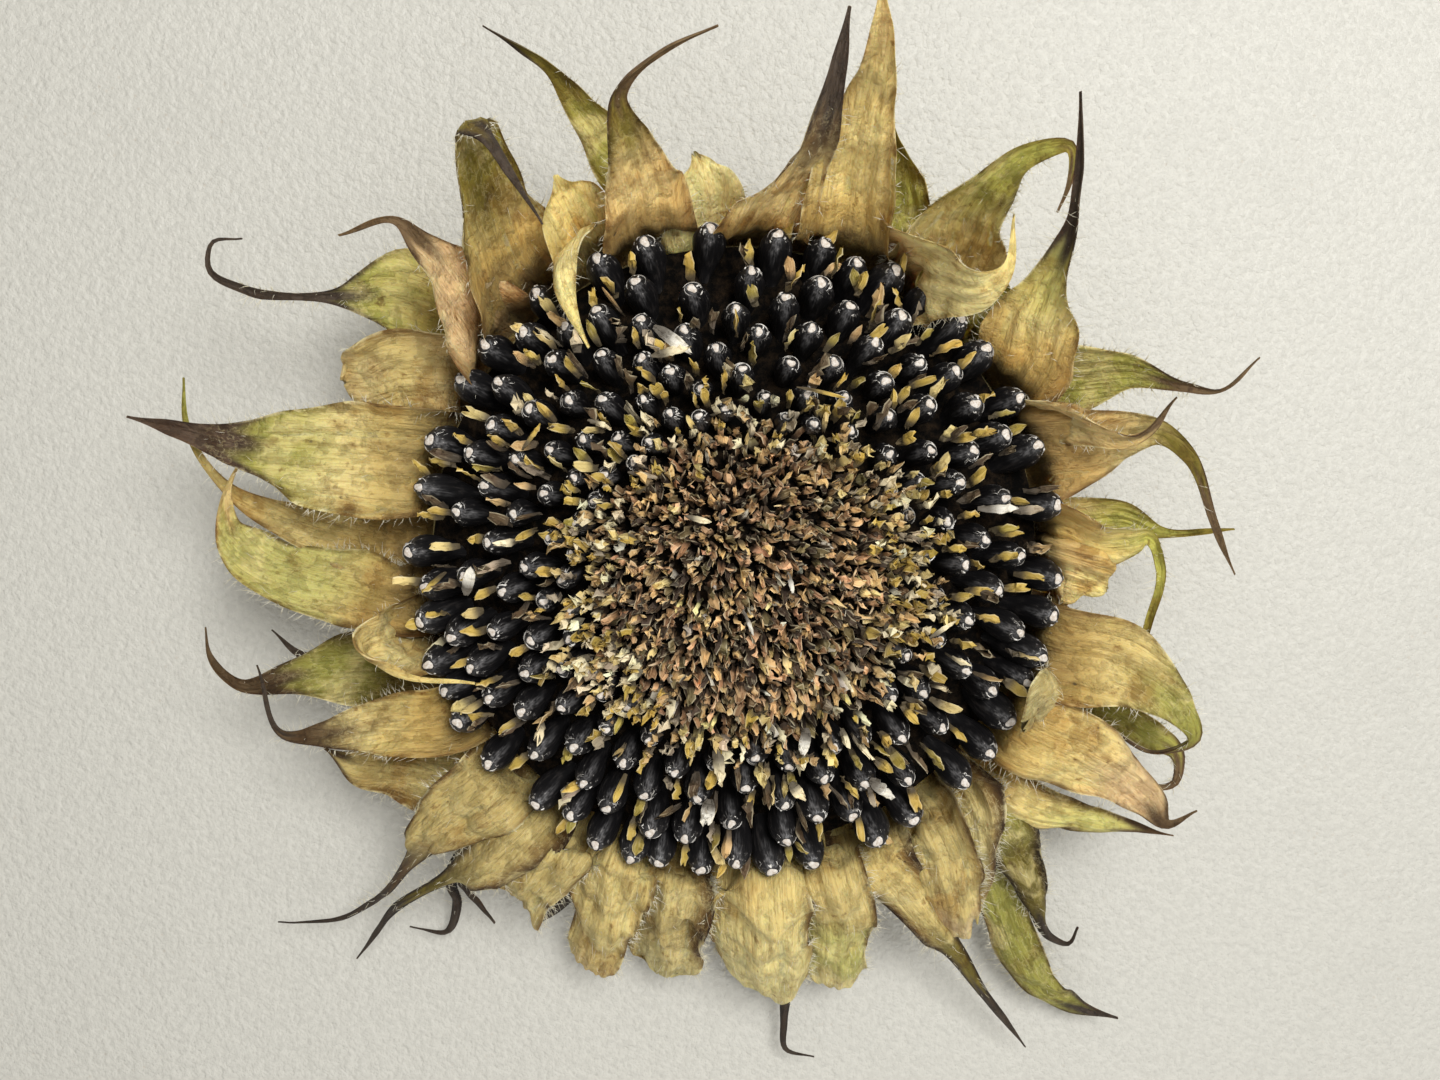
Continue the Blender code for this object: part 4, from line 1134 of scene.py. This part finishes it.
def seed_places(settings):
    """Every seed's tip, outward and sideways directions, lean at its root and tip, length and half width."""
    rng = np.random.default_rng(21)
    spots = seed_spots()
    count = len(spots)
    share = seed_share(np.linalg.norm(spots, axis=1))
    tip = above_bed(spots, mix(SEED_SHOWN, share) * rng.uniform(0.9, 1.06, count))
    away = np.column_stack([unit(spots), np.zeros(count)])
    outwards = unit(away + rng.normal(0, 0.09, (count, 3)) * (1, 1, 0))
    sideways = np.cross(np.array([0, 0, 1.0]), outwards)
    lean_root = np.radians(mix((22, 68), share)) + rng.normal(0, 0.06, count)
    lean_tip = np.radians(mix((2, 16), share)) + rng.normal(0, 0.1, count)
    length = mix((9.5, 13.5), share) * rng.uniform(0.94, 1.06, count)
    half = mix(SEED_PITCH, share) * settings.fill * rng.uniform(0.9, 1.06, count) / 2
    return tip, outwards, sideways, lean_root, lean_tip, length, half


def add_seeds(settings):
    """Every seed of the ring: a plump, slightly four-sided shell with a scar at its blunt end."""
    tip, outwards, sideways, lean_root, lean_tip, length, half = seed_places(settings)
    steps, outline = np.array(SEED_OUTLINE).T
    centres, direction = bent_line(tip, outwards, lean_root, lean_tip, length, np.sort(steps))
    thick = np.cross(direction, sideways[:, None])
    angles = -np.arange(SEED_SIDES) * math.tau / SEED_SIDES
    corners = 1 + 0.06 * np.cos(4 * angles) * smooth(0.4, 0.9, outline)[:, None]
    phases = np.random.default_rng(23).uniform(0, math.tau, (len(tip), 2, 1))
    waves = np.sin(angles * np.array([[2], [3]]) + phases)
    worn = 1 + (0.2 * waves[:, 0] + 0.13 * waves[:, 1])[:, None] * smooth(0.5, 0.36, outline)[:, None]
    flatness = mix((1.0, settings.flatness), smooth(0.2, 0.8, outline))[:, None]
    wide = half[:, None, None] * (outline[:, None] * np.cos(angles) * corners)[None] * worn
    deep = half[:, None, None] * (outline[:, None] * flatness * np.sin(angles) * corners)[None] * worn
    lift = (steps - np.sort(steps))[None, :, None] * length[:, None, None]
    points = (
        centres[:, :, None] + sideways[:, None, None] * wide[..., None]
        + thick[:, :, None] * deep[..., None] + direction[:, :, None] * lift[..., None]
    )
    below = ((steps - 1)[None, :, None] * length[:, None, None]) + 0 * wide
    scar = np.arange(len(steps))[None, :, None] >= len(steps) - SCAR_RINGS
    gathered = Gathered()
    gathered.add(points, grain=np.stack([wide, deep, below], axis=-1), place=points, scar=scar)
    return gathered.make("black_seeds", seed_finish(settings.shell, settings.scar), "seeds", sharp=60)


def add_seed_fibres(settings):
    """Torn white fibres on the seeds: broken loops and crumbs round each scar and streaks down the shell."""
    rng = np.random.default_rng(25)
    tip, outwards, sideways, _, lean_tip, length, half = seed_places(settings)
    lean = lean_tip[:, None]
    direction = outwards * np.sin(lean) + np.array([0, 0, 1]) * np.cos(lean)
    thick = np.cross(direction, sideways)
    steps, outline = np.array(SEED_OUTLINE).T
    grow = np.linspace(0, 1, 9)
    gathered = Gathered()
    for each, low, high, fall, start, turn, radius in FIBRES:
        seed = np.repeat(np.arange(len(tip)), each)
        size = (len(seed), 1)
        step = rng.uniform(low, high, size) - rng.uniform(0.3, 1, size) * fall * grow
        step = step + 0.012 * np.sin(rng.uniform(2, 9, size) * grow + rng.uniform(0, math.tau, size))
        angle = math.pi / 2 + rng.uniform(-start, start, size) + rng.uniform(0.4, 1, size) * turn * grow
        reach = np.interp(step, np.sort(steps), outline) * half[seed][:, None] + 0.06
        centres = (
            tip[seed][:, None] + direction[seed][:, None] * ((step - 1) * length[seed][:, None])[..., None]
            + sideways[seed][:, None] * (reach * np.cos(angle))[..., None]
            + thick[seed][:, None] * (reach * settings.flatness * np.sin(angle))[..., None]
        )
        radius = radius * rng.uniform(0.6, 1.2, size) * np.sin(math.pi * mix((0.08, 0.92), grow)) ** 0.6
        reference = direction[seed] + 0.7 * sideways[seed] + 0.4 * thick[seed]
        points = thread_tubes(centres, radius, reference)
        gathered.add(points, grain=points)
    return gathered.make("seed_fibres", fibre_finish(), "seeds", sharp=180)


def add_seed_bed():
    """The dark floor between the seeds and under the florets."""
    rng = np.random.default_rng(9)
    radius = np.concatenate([np.linspace(0.2, 50.4, 60), [50.9, 50.6]])[:, None]
    angle = -np.arange(BED_SIDES)[None] * math.tau / BED_SIDES
    x, y = radius * np.cos(angle), radius * np.sin(angle)
    height = bed_at(radius)[0] - BED_DEPTH + 0 * angle
    off = np.hypot(x - FLORET_CENTRE[0], y - FLORET_CENTRE[1]) / FLORET_RADIUS
    height = np.where(off < 1.02, np.maximum(floret_height(off) - 1.6, height), height)
    height = height + 0.35 * ruffle(rng, x, y, 2.2, 2.2)
    height[-1] = 22.8
    points = np.stack([x, y, height], axis=-1)[::-1]
    gathered = Gathered()
    gathered.add(points[None], grain=points[None])
    return gathered.make("seed_bed", bed_finish(), "seeds", sharp=60)


def add_blades(
    gathered, root, lean_from, lean_to, size, roll, twist, tint, outline, teeth, seed,
    rows=8, columns=5, thickness=0.16, crumple=0.12,
):
    """Small dry blades: each grows from its root, leans over, curls, twists and ends in teeth."""
    rng = np.random.default_rng(seed)
    count = len(root)
    length, width = size[:, 0], size[:, 1]
    t = np.linspace(0, 1, rows)
    direction = unit(lean_from[:, None] * (1 - t)[None, :, None] + lean_to[:, None] * t[None, :, None])
    centres = root[:, None] + np.cumsum(direction, axis=1) * (length / rows)[:, None, None]
    reference = unit(np.cross(lean_from, rng.normal(0, 0.35, (count, 3)) + (0, 0, 1)))
    lengthwise = np.sum(reference[:, None] * direction, axis=2, keepdims=True)
    side = unit(reference[:, None] - direction * lengthwise)
    up = np.cross(direction, side)
    side, up = turned_over(side, up, (twist[:, None] * t[None])[..., None])
    across = np.linspace(-1, 1, columns)
    arc = across[None, None] * roll[:, None, None] / 2
    half = width[:, None, None] / 2 * np.interp(t, *zip(*outline))[None, :, None] / (roll[:, None, None] / 2)
    x, height = half * np.sin(arc), half * (1 - np.cos(arc))
    height = height + crumple * width[:, None, None] * rng.normal(0, 1, (count, rows, columns))
    tooth = teeth * width[:, None] * rng.uniform(-1, 1, (count, columns))
    pushed = tooth[:, None] * smooth(0.6, 1, t)[None, :, None]
    surface = (
        centres[:, :, None] + side[:, :, None] * x[..., None] + up[:, :, None] * height[..., None]
        + direction[:, :, None] * pushed[..., None]
    )
    blade_up = up[:, :, None] + 0 * surface
    spread = across[None, None] + 0 * x
    along = t[None, :, None] + 0 * x
    apart = BLADE_GRAIN_STEP * np.arange(count)[:, None, None] + 0 * x
    grain = np.stack([spread * width[:, None, None] / 2, along * length[:, None, None], apart], axis=-1)
    gathered.add(
        flat_tube(surface, blade_up, thickness * (1 - 0.4 * spread**2)),
        tint=tint[:, None, None] * np.ones(3),
        grain=along_flat_tube(grain),
        edge=along_flat_tube(np.abs(spread)),
        along=along_flat_tube(along),
    )


def add_scales(
    gathered, rng, spots, around, root, leans, size, roll, twist, tint, outline, teeth, stray=0.3, **more
):
    """Small dry blades that lean away from a middle, by degrees from upright at their root and tip."""
    count = len(spots)
    away = np.column_stack([unit(spots - np.array(around)), np.zeros(count)])
    outwards = unit(away + rng.normal(0, stray, (count, 3)) * (1, 1, 0))
    first, last = (np.radians(lean)[:, None] for lean in leans)
    rise = np.array([0, 0, 1.0])
    add_blades(
        gathered, root, outwards * np.sin(first) + rise * np.cos(first),
        outwards * np.sin(last) + rise * np.cos(last), size, roll, twist, tint, outline, teeth, **more,
    )


def tones(settings, names):
    """The colours that go by these names in the settings."""
    return [getattr(settings, name) for name in names.split()]


def picked(rng, colours, shares, count, spread=0.12):
    """A colour for each of the blades, picked by its share and varied a little."""
    shares = np.array(shares, dtype=float)
    chosen = np.array(colours)[rng.choice(len(colours), count, p=shares / shares.sum())]
    level, cast = rng.normal(1, spread, (count, 1)), rng.normal(1, spread / 8, (count, 3))
    return np.clip(chosen * level * cast, 0.005, 0.95)


def gaps_between(centres):
    """Flat spots in the middle of each three neighbouring seeds."""
    points, _, faces, *_ = geometry.delaunay_2d_cdt([Vector(c) for c in centres], [], [], 0, 1e-4)
    spots = []
    for a, b, c in faces:
        sides = [(points[i] - points[j]).length for i, j in ((a, b), (b, c), (c, a))]
        if max(sides) < GAP_REACH * SEED_PITCH[1]:
            spots.append((points[a] + points[b] + points[c]) / 3)
    return np.array([tuple(spot) for spot in spots])


def add_chaff(settings):
    """Stiff mustard scales, one behind most seeds and some in the gaps, that lean outwards."""
    rng = np.random.default_rng(31)
    seeds = seed_spots()
    behind = seeds + unit(seeds) * rng.uniform(1.6, 2.8, (len(seeds), 1)) + rng.normal(0, 0.7, seeds.shape)
    behind = behind[rng.random(len(behind)) < settings.chaff_share]
    gaps = gaps_between(seeds)
    gaps = gaps[rng.random(len(gaps)) < settings.gap_share]
    spots = np.concatenate([behind, gaps])
    spots = spots[np.linalg.norm(spots, axis=1) < CHAFF_REACH]
    gathered = Gathered()
    for number, (outline, teeth) in enumerate(CHAFF_SHAPES):
        here = spots[number::len(CHAFF_SHAPES)]
        count = len(here)
        share = seed_share(np.linalg.norm(here, axis=1))
        root = above_bed(here, mix(SEED_SHOWN, share) * rng.uniform(0.3, 0.52, count))
        leans = (
            mix((14, 38), share) + rng.normal(0, 6, count),
            mix((44, 84), share) + rng.normal(0, 16, count),
        )
        size = np.column_stack([rng.uniform(4.2, 6.2, count), rng.uniform(1.3, 2.1, count)])
        colours = picked(rng, tones(settings, "mustard olive straw tan"), (6, 2, 1.4, 1), count)
        add_scales(
            gathered, rng, here, (0, 0), root, leans, size, rng.uniform(0.4, 1.8, count),
            rng.normal(0, 0.5, count), colours, outline, teeth, seed=number, thickness=0.2,
        )
    return gathered.make("chaff_scales", scale_finish("chaff", 0.35, 0.08), "seeds", sharp=40)


def add_papery_scales(settings):
    """Crumpled pale floret remains round the middle, and brown skins that stand in the gaps of the seeds."""
    rng = np.random.default_rng(41)
    angle = rng.uniform(0, math.tau, settings.papery)
    crowd = 0.55 + 0.45 * np.cos(2 * (angle - math.radians(15)))
    angle = angle[rng.random(len(angle)) < np.maximum(crowd, 0.3)]
    reach = FLORET_RADIUS + rng.normal(1.2, 2.8, len(angle))
    pale = np.array(FLORET_CENTRE) + reach[:, None] * np.column_stack([np.cos(angle), np.sin(angle)])
    gaps = gaps_between(seed_spots())
    skins = gaps[rng.random(len(gaps)) < settings.skin_share]
    skins = skins + rng.normal(0, 0.8, skins.shape)
    pale = pale[np.linalg.norm(pale, axis=1) < PAPERY_REACH]
    skins = skins[np.linalg.norm(skins, axis=1) < CHAFF_REACH]
    pale_tones = tones(settings, "cream straw grey mustard tan")
    skin_tones = tones(settings, "skin grey tan cream")
    gathered = Gathered()
    for spots, low, long, wide, colours, shares, spread in (
        (pale, 0.5, (2.4, 4.6), (1.1, 2.3), pale_tones, (3.2, 3, 1, 2.6, 2.4), 4.0),
        (skins, 0.2, (4.5, 7.5), (1.1, 2.4), skin_tones, (8, 1.6, 0.7, 0.9), 4.8),
    ):
        count = len(spots)
        share = seed_share(np.linalg.norm(spots, axis=1))
        root = above_bed(spots, mix(SEED_SHOWN, share) * rng.uniform(low, low + 0.24, count))
        leans = (
            mix((10, 35), share) + rng.normal(0, 12, count),
            mix((34, 58), share) + rng.normal(0, 22, count),
        )
        size = np.column_stack([rng.uniform(*long, count), rng.uniform(*wide, count)])
        add_scales(
            gathered, rng, spots, FLORET_CENTRE, root, leans, size, rng.uniform(0.8, spread, count),
            rng.normal(0, 0.9, count), picked(rng, colours, shares, count, 0.16),
            ((0, 0.5), (0.4, 0.95), (0.75, 1), (1, 0.5)), 0.5, seed=count, rows=7, crumple=0.2,
        )
    return gathered.make("papery_scales", scale_finish("papery_scale", 0.4), "seeds", sharp=35)


def add_florets(settings):
    """The brown middle: hundreds of small withered florets that lean away from its centre."""
    rng = np.random.default_rng(51)
    count = settings.count
    radius = (FLORET_RADIUS + 0.6) * np.sqrt((np.arange(count) + 0.5) / count)
    angle = np.arange(count) * GOLDEN_ANGLE
    flat = np.column_stack([radius * np.cos(angle), radius * np.sin(angle)])
    flat = flat + rng.normal(0, 0.35, (count, 2))
    off = np.linalg.norm(flat, axis=1) / FLORET_RADIUS
    root = np.column_stack([flat + FLORET_CENTRE, floret_height(off) - 1.3 + rng.normal(0, 0.6, count)])
    away = np.minimum(np.linalg.norm(flat - np.array(FLORET_WHORL), axis=1) / 24, 1.2)
    leans = 4 + 14 * away + rng.normal(0, 10, count), 24 + 34 * away + rng.normal(0, 28, count)
    size = np.column_stack([rng.uniform(2.4, 5.4, count), rng.uniform(0.8, 2.1, count)])
    colours = tones(settings, "tan salmon brown dark olive white")
    gathered = Gathered()
    add_scales(
        gathered, rng, flat, FLORET_WHORL, root, leans, size,
        rng.uniform(0.8, 4.0, count), rng.normal(0, 0.8, count),
        picked(rng, colours, (3.6, 3, 3.6, 3.2, 2, 0.35), count, 0.25),
        ((0, 0.7), (0.4, 1), (0.8, 0.92), (1, 0.5)), 0.3, stray=0.55, seed=7, rows=6, crumple=0.18,
    )
    threads = settings.threads
    angle, reach = rng.uniform(0, math.tau, threads), FLORET_RADIUS * np.sqrt(rng.random(threads))
    flat = np.column_stack([np.cos(angle), np.sin(angle)]) * reach[:, None]
    height = floret_height(reach / FLORET_RADIUS) + rng.uniform(0, 1.0, threads)
    first, last = unit(rng.normal(0, 1, (threads, 3)) + (0, 0, 0.8)), unit(rng.normal(0, 1, (threads, 3)))
    size = np.column_stack([rng.uniform(1.6, 4.2, threads), rng.uniform(0.25, 0.5, threads)])
    add_blades(
        gathered, np.column_stack([flat + FLORET_CENTRE, height]), first, last, size,
        np.full(threads, 1.5), rng.normal(0, 2, threads),
        picked(rng, tones(settings, "tan salmon brown white"), (3, 3, 3, 0.6), threads),
        ((0, 1), (0.8, 0.8), (1, 0.3)), 0.0, 8, rows=7, columns=3, thickness=0.14,
    )
    # the florets' root colour is a nearly black painted shade down among them
    finish = scale_finish("dried_floret", 0.5, root=(0.02, 0.011, 0.006))
    return gathered.make("dried_florets", finish, "florets", sharp=30)


def add_shreds(settings):
    """Loose pale shreds that lie on the tips of the seeds."""
    rng = np.random.default_rng(61)
    x, y, azimuth, length, width = np.array([shred[:5] for shred in SHREDS]).T
    tint = np.array([getattr(settings, shred[5]) for shred in SHREDS])
    turn = np.radians(azimuth)
    heading = np.column_stack([np.cos(turn), np.sin(turn), 0 * x])
    root = np.column_stack([x, y, face_height(np.hypot(x, y)) + 0.9]) - heading * length[:, None] / 2
    count = len(SHREDS)
    gathered = Gathered()
    drooped = heading - (0, 0, 0.2) + rng.normal(0, 0.12, (count, 3))
    add_blades(
        gathered, root, unit(heading + (0, 0, 0.12)), unit(drooped),
        np.column_stack([length, width]), rng.uniform(0.6, 1.6, count), rng.normal(0, 0.4, count), tint,
        ((0, 0.35), (0.2, 0.85), (0.6, 1), (0.85, 0.8), (1, 0.3)), 0.3, 9, rows=14, columns=7, thickness=0.2,
    )
    return gathered.make("loose_shreds", scale_finish("loose_shred", 0.18), "seeds", sharp=50)


# ---- settings, operators and panel ----


def colour_setting(name, default):
    """A colour of the dried head."""
    return FloatVectorProperty(
        name=name, description=f"{name} of the dried head", default=default,
        subtype="COLOR", size=3, min=0, max=1,
    )


def length_setting(name, description, default):
    """A length in metres."""
    return FloatProperty(name=name, description=description, default=default, min=0, unit="LENGTH")


def power_setting(name, description, default):
    """A light's power in watts."""
    return FloatProperty(name=name, description=description, default=default, min=0, unit="POWER")


def share_setting(name, description, default):
    """A share from 0 to 1."""
    return FloatProperty(name=name, description=description, default=default, min=0, max=1, subtype="FACTOR")


def count_setting(name, description, default):
    """A number of things."""
    return IntProperty(name=name, description=description, default=default, min=1)


def group_setting(group, name, description):
    """A group of settings inside another."""
    return PointerProperty(type=group, name=name, description=description)


class SEEDHEAD_PG_bract_colours(bpy.types.PropertyGroup):
    """The colours that the bracts are painted with."""

    straw: colour_setting("Straw", (0.95, 0.74, 0.275))
    cream: colour_setting("Cream", (0.95, 0.8, 0.34))
    tan: colour_setting("Tan", (0.98, 0.73, 0.3))
    pink: colour_setting("Pinkish tan", (0.86, 0.6, 0.3))
    pale_green: colour_setting("Pale green", (0.78, 0.72, 0.22))
    green: colour_setting("Green", (0.48, 0.45, 0.09))
    olive: colour_setting("Olive", (0.26, 0.2, 0.025))
    brown: colour_setting("Brown", (0.17, 0.105, 0.045))
    purple: colour_setting("Purplish brown", (0.12, 0.075, 0.045))
    dark: colour_setting("Dark brown", (0.075, 0.052, 0.034))


class SEEDHEAD_PG_bracts(bpy.types.PropertyGroup):
    """The bracts and their hairs."""

    thickness: length_setting("Thickness", "How thick a bract is in its middle", 0.4 * MM)
    crumple: length_setting("Crumple", "How deep the wrinkles of a bract are", 0.42 * MM)
    overlap: length_setting("Overlap", "How far a bract lifts over the next one", 1.3 * MM)
    # front_shade paints the front bracts darker: partly their own darker colour, partly painted shade
    front_shade: share_setting("Front shade", "How much darker the front bracts are", 0.33)
    hairs: count_setting("Hairs", "Hairs on the hairiest bract", 380)
    hair_radius: length_setting("Hair radius", "How thick a hair is at its root", 0.045 * MM)
    colours: group_setting(SEEDHEAD_PG_bract_colours, "Colours", "Colours of the bracts")


class SEEDHEAD_PG_receptacle(bpy.types.PropertyGroup):
    """The plate that carries the seeds."""

    rib_depth: length_setting("Rib depth", "How deep the ribs of the back are", 1.0 * MM)


class SEEDHEAD_PG_seeds(bpy.types.PropertyGroup):
    """The seeds, their chaff and the papery remains among them."""

    fill: share_setting("Fill", "A seed's width as a share of the room it has", 0.75)
    flatness: share_setting("Flatness", "A seed's depth as a share of its width", 0.8)
    chaff_share: share_setting("Chaff", "Share of the seeds with a chaff scale behind them", 0.8)
    gap_share: share_setting("Chaff in gaps", "Share of the gaps with a chaff scale", 0.2)
    skin_share: share_setting("Skins in gaps", "Share of the gaps with a brown skin", 0.36)
    papery: count_setting("Papery scales", "Papery scales round the middle", 720)
    shell: colour_setting("Shell", (0.008, 0.0075, 0.008))
    scar: colour_setting("Scar", (0.74, 0.7, 0.64))
    skin: colour_setting("Skin", (0.1, 0.062, 0.03))
    mustard: colour_setting("Mustard", (0.53, 0.36, 0.07))
    olive: colour_setting("Olive", (0.34, 0.26, 0.045))
    straw: colour_setting("Straw", (0.68, 0.52, 0.2))
    cream: colour_setting("Cream", (0.86, 0.74, 0.48))
    grey: colour_setting("Grey", (0.36, 0.29, 0.2))
    tan: colour_setting("Tan", (0.56, 0.36, 0.15))
    white: colour_setting("White", (0.78, 0.74, 0.64))


class SEEDHEAD_PG_florets(bpy.types.PropertyGroup):
    """The withered florets of the middle."""

    count: count_setting("Florets", "How many florets there are", 1450)
    threads: count_setting("Threads", "How many thin threads lie among them", 260)
    tan: colour_setting("Tan", (0.8, 0.52, 0.22))
    salmon: colour_setting("Salmon", (0.72, 0.42, 0.21))
    brown: colour_setting("Brown", (0.32, 0.175, 0.08))
    dark: colour_setting("Dark brown", (0.05, 0.03, 0.018))
    olive: colour_setting("Olive", (0.17, 0.125, 0.05))
    white: colour_setting("White", (0.68, 0.62, 0.5))


class SEEDHEAD_PG_stage(bpy.types.PropertyGroup):
    """The floor and the light."""

    floor_size: length_setting("Floor size", "Side of the square floor", 3.0)
    floor: colour_setting("Floor", (0.59, 0.575, 0.515))
    over_power: power_setting("Overhead power", "Power of the light over the head", 2.95)
    over_size: length_setting("Overhead size", "Side of the light over the head", 0.22)
    front_power: power_setting("Front power", "Power of the light in front", 1.6)
    front_size: length_setting("Front size", "Side of the light in front", 0.9)
    sky: FloatProperty(name="Sky", description="Strength of the even light from around", default=0.4, min=0)


class SEEDHEAD_PG_settings(bpy.types.PropertyGroup):
    """Everything that can be changed before the head is made."""

    bracts: group_setting(SEEDHEAD_PG_bracts, "Bracts", "Settings of the bracts")
    receptacle: group_setting(SEEDHEAD_PG_receptacle, "Receptacle", "Settings of the plate")
    seeds: group_setting(SEEDHEAD_PG_seeds, "Seeds", "Settings of the seeds and chaff")
    florets: group_setting(SEEDHEAD_PG_florets, "Florets", "Settings of the middle")
    stage: group_setting(SEEDHEAD_PG_stage, "Stage", "Settings of the floor and light")


class SEEDHEAD_OT_bracts(bpy.types.Operator):
    """Make the three rows of bracts"""

    bl_idname = "seedhead.bracts"
    bl_label = "Bracts"

    def execute(self, context):
        finish = bract_finish()
        for row in ("inner", "middle", "outer"):
            add_bract_row(row, context.scene.seedhead.bracts, finish)
        return {"FINISHED"}


class SEEDHEAD_OT_bract_hairs(bpy.types.Operator):
    """Make the fine hairs on the bracts"""

    bl_idname = "seedhead.bract_hairs"
    bl_label = "Bract hairs"

    def execute(self, context):
        add_bract_hairs(context.scene.seedhead.bracts)
        return {"FINISHED"}


class SEEDHEAD_OT_receptacle(bpy.types.Operator):
    """Make the plate and the cut stem under it"""

    bl_idname = "seedhead.receptacle"
    bl_label = "Receptacle"

    def execute(self, context):
        add_receptacle(context.scene.seedhead.receptacle)
        return {"FINISHED"}


class SEEDHEAD_OT_seeds(bpy.types.Operator):
    """Make the seeds, their torn fibres and the dark bed that they stand in"""

    bl_idname = "seedhead.seeds"
    bl_label = "Seeds"

    def execute(self, context):
        add_seed_bed()
        add_seeds(context.scene.seedhead.seeds)
        add_seed_fibres(context.scene.seedhead.seeds)
        return {"FINISHED"}


class SEEDHEAD_OT_chaff(bpy.types.Operator):
    """Make the chaff, the papery scales and the loose shreds among the seeds"""

    bl_idname = "seedhead.chaff"
    bl_label = "Chaff"

    def execute(self, context):
        settings = context.scene.seedhead.seeds
        add_chaff(settings)
        add_papery_scales(settings)
        add_shreds(settings)
        return {"FINISHED"}


class SEEDHEAD_OT_florets(bpy.types.Operator):
    """Make the withered florets of the middle"""

    bl_idname = "seedhead.florets"
    bl_label = "Florets"

    def execute(self, context):
        add_florets(context.scene.seedhead.florets)
        return {"FINISHED"}


class SEEDHEAD_OT_stage(bpy.types.Operator):
    """Set up the floor, the light and the camera"""

    bl_idname = "seedhead.stage"
    bl_label = "Floor, light and camera"

    def execute(self, context):
        settings = context.scene.seedhead.stage
        add_floor(settings)
        add_light(settings)
        add_camera()
        return {"FINISHED"}


def list_settings(layout, settings):
    """Lists a group's settings, those of the groups inside it too."""
    for name, setting in settings.bl_rna.properties.items():
        if name in ("rna_type", "name"):
            continue
        if setting.type == "POINTER":
            list_settings(layout, getattr(settings, name))
        else:
            layout.prop(settings, name)


class SEEDHEAD_PT_panel(bpy.types.Panel):
    """The seed head's settings and steps"""

    bl_idname = "SEEDHEAD_PT_panel"
    bl_label = "Sunflower seed head"
    bl_space_type = "VIEW_3D"
    bl_region_type = "UI"
    bl_category = "Seed head"

    def draw(self, context):
        for group, operators in STEPS.items():
            box = self.layout.box()
            list_settings(box, getattr(context.scene.seedhead, group))
            for operator in operators:
                box.operator(f"seedhead.{operator}")


# each group of settings and the operators that use it, in the order in which they run
STEPS = {
    "bracts": ("bracts", "bract_hairs"),
    "receptacle": ("receptacle",),
    "seeds": ("seeds", "chaff"),
    "florets": ("florets",),
    "stage": ("stage",),
}
CLASSES = (
    SEEDHEAD_PG_bract_colours, SEEDHEAD_PG_bracts, SEEDHEAD_PG_receptacle, SEEDHEAD_PG_seeds,
    SEEDHEAD_PG_florets, SEEDHEAD_PG_stage, SEEDHEAD_PG_settings, SEEDHEAD_OT_bracts,
    SEEDHEAD_OT_bract_hairs, SEEDHEAD_OT_receptacle, SEEDHEAD_OT_seeds, SEEDHEAD_OT_chaff,
    SEEDHEAD_OT_florets, SEEDHEAD_OT_stage, SEEDHEAD_PT_panel,
)


# ---- stage ----


def add_floor(settings):
    """The pale board that the head lies on."""
    half = settings.floor_size / 2
    mesh = bpy.data.meshes.new("floor")
    corners = [(-half, -half, 0), (half, -half, 0), (half, half, 0), (-half, half, 0)]
    mesh.from_pydata(corners, [], [(0, 1, 2, 3)])
    mesh.materials.append(floor_finish(settings.floor))
    floor = bpy.data.objects.new("floor", mesh)
    bpy.context.scene.collection.objects.link(floor)


def add_lamp(name, place, size, power):
    """A square soft light that faces the head."""
    lamp = bpy.data.lights.new(name, "AREA")
    lamp.shape = "SQUARE"
    lamp.size = size
    lamp.energy = power
    light = bpy.data.objects.new(name, lamp)
    light.location = place
    light.rotation_euler = (-Vector(place)).to_track_quat("-Z", "Y").to_euler()
    bpy.context.scene.collection.objects.link(light)


def add_light(settings):
    """A soft light over the back of the head, a larger one in front of it, and an even sky."""
    add_lamp("over_light", OVER_PLACE, settings.over_size, settings.over_power)
    add_lamp("front_light", FRONT_PLACE, settings.front_size, settings.front_power)
    world = bpy.data.worlds.new("pale_sky")
    world.use_nodes = True
    background = world.node_tree.nodes["Background"]
    background.inputs["Color"].default_value = SKY_COLOUR
    background.inputs["Strength"].default_value = settings.sky
    bpy.context.scene.world = world
    bpy.context.scene.view_settings.view_transform = "Standard"


def add_camera():
    """The camera, nearly straight over the head."""
    camera = bpy.data.objects.new("camera", bpy.data.cameras.new("camera"))
    camera.data.sensor_width = VIEW_SENSOR
    camera.data.lens = VIEW_LENS
    camera.data.clip_start = 0.001
    tilt = math.radians(VIEW_TILT)
    offset = Vector((0, math.sin(tilt), math.cos(tilt))) * VIEW_DISTANCE
    camera.location = (Vector(VIEW_TARGET) + offset) * MM
    camera.rotation_euler = (-tilt, 0, 0)
    bpy.context.scene.collection.objects.link(camera)
    bpy.context.scene.camera = camera


def register():
    """Registers the classes and the settings."""
    for cls in CLASSES:
        bpy.utils.register_class(cls)
    bpy.types.Scene.seedhead = PointerProperty(
        type=SEEDHEAD_PG_settings, name="Seed head", description="Settings of the seed head"
    )


def unregister():
    """Takes the settings and the classes away again."""
    del bpy.types.Scene.seedhead
    for cls in reversed(CLASSES):
        bpy.utils.unregister_class(cls)


def main():
    """Makes the head and its stage."""
    register()
    for operators in STEPS.values():
        for operator in operators:
            getattr(bpy.ops.seedhead, operator)()


if __name__ == "__main__":
    main()
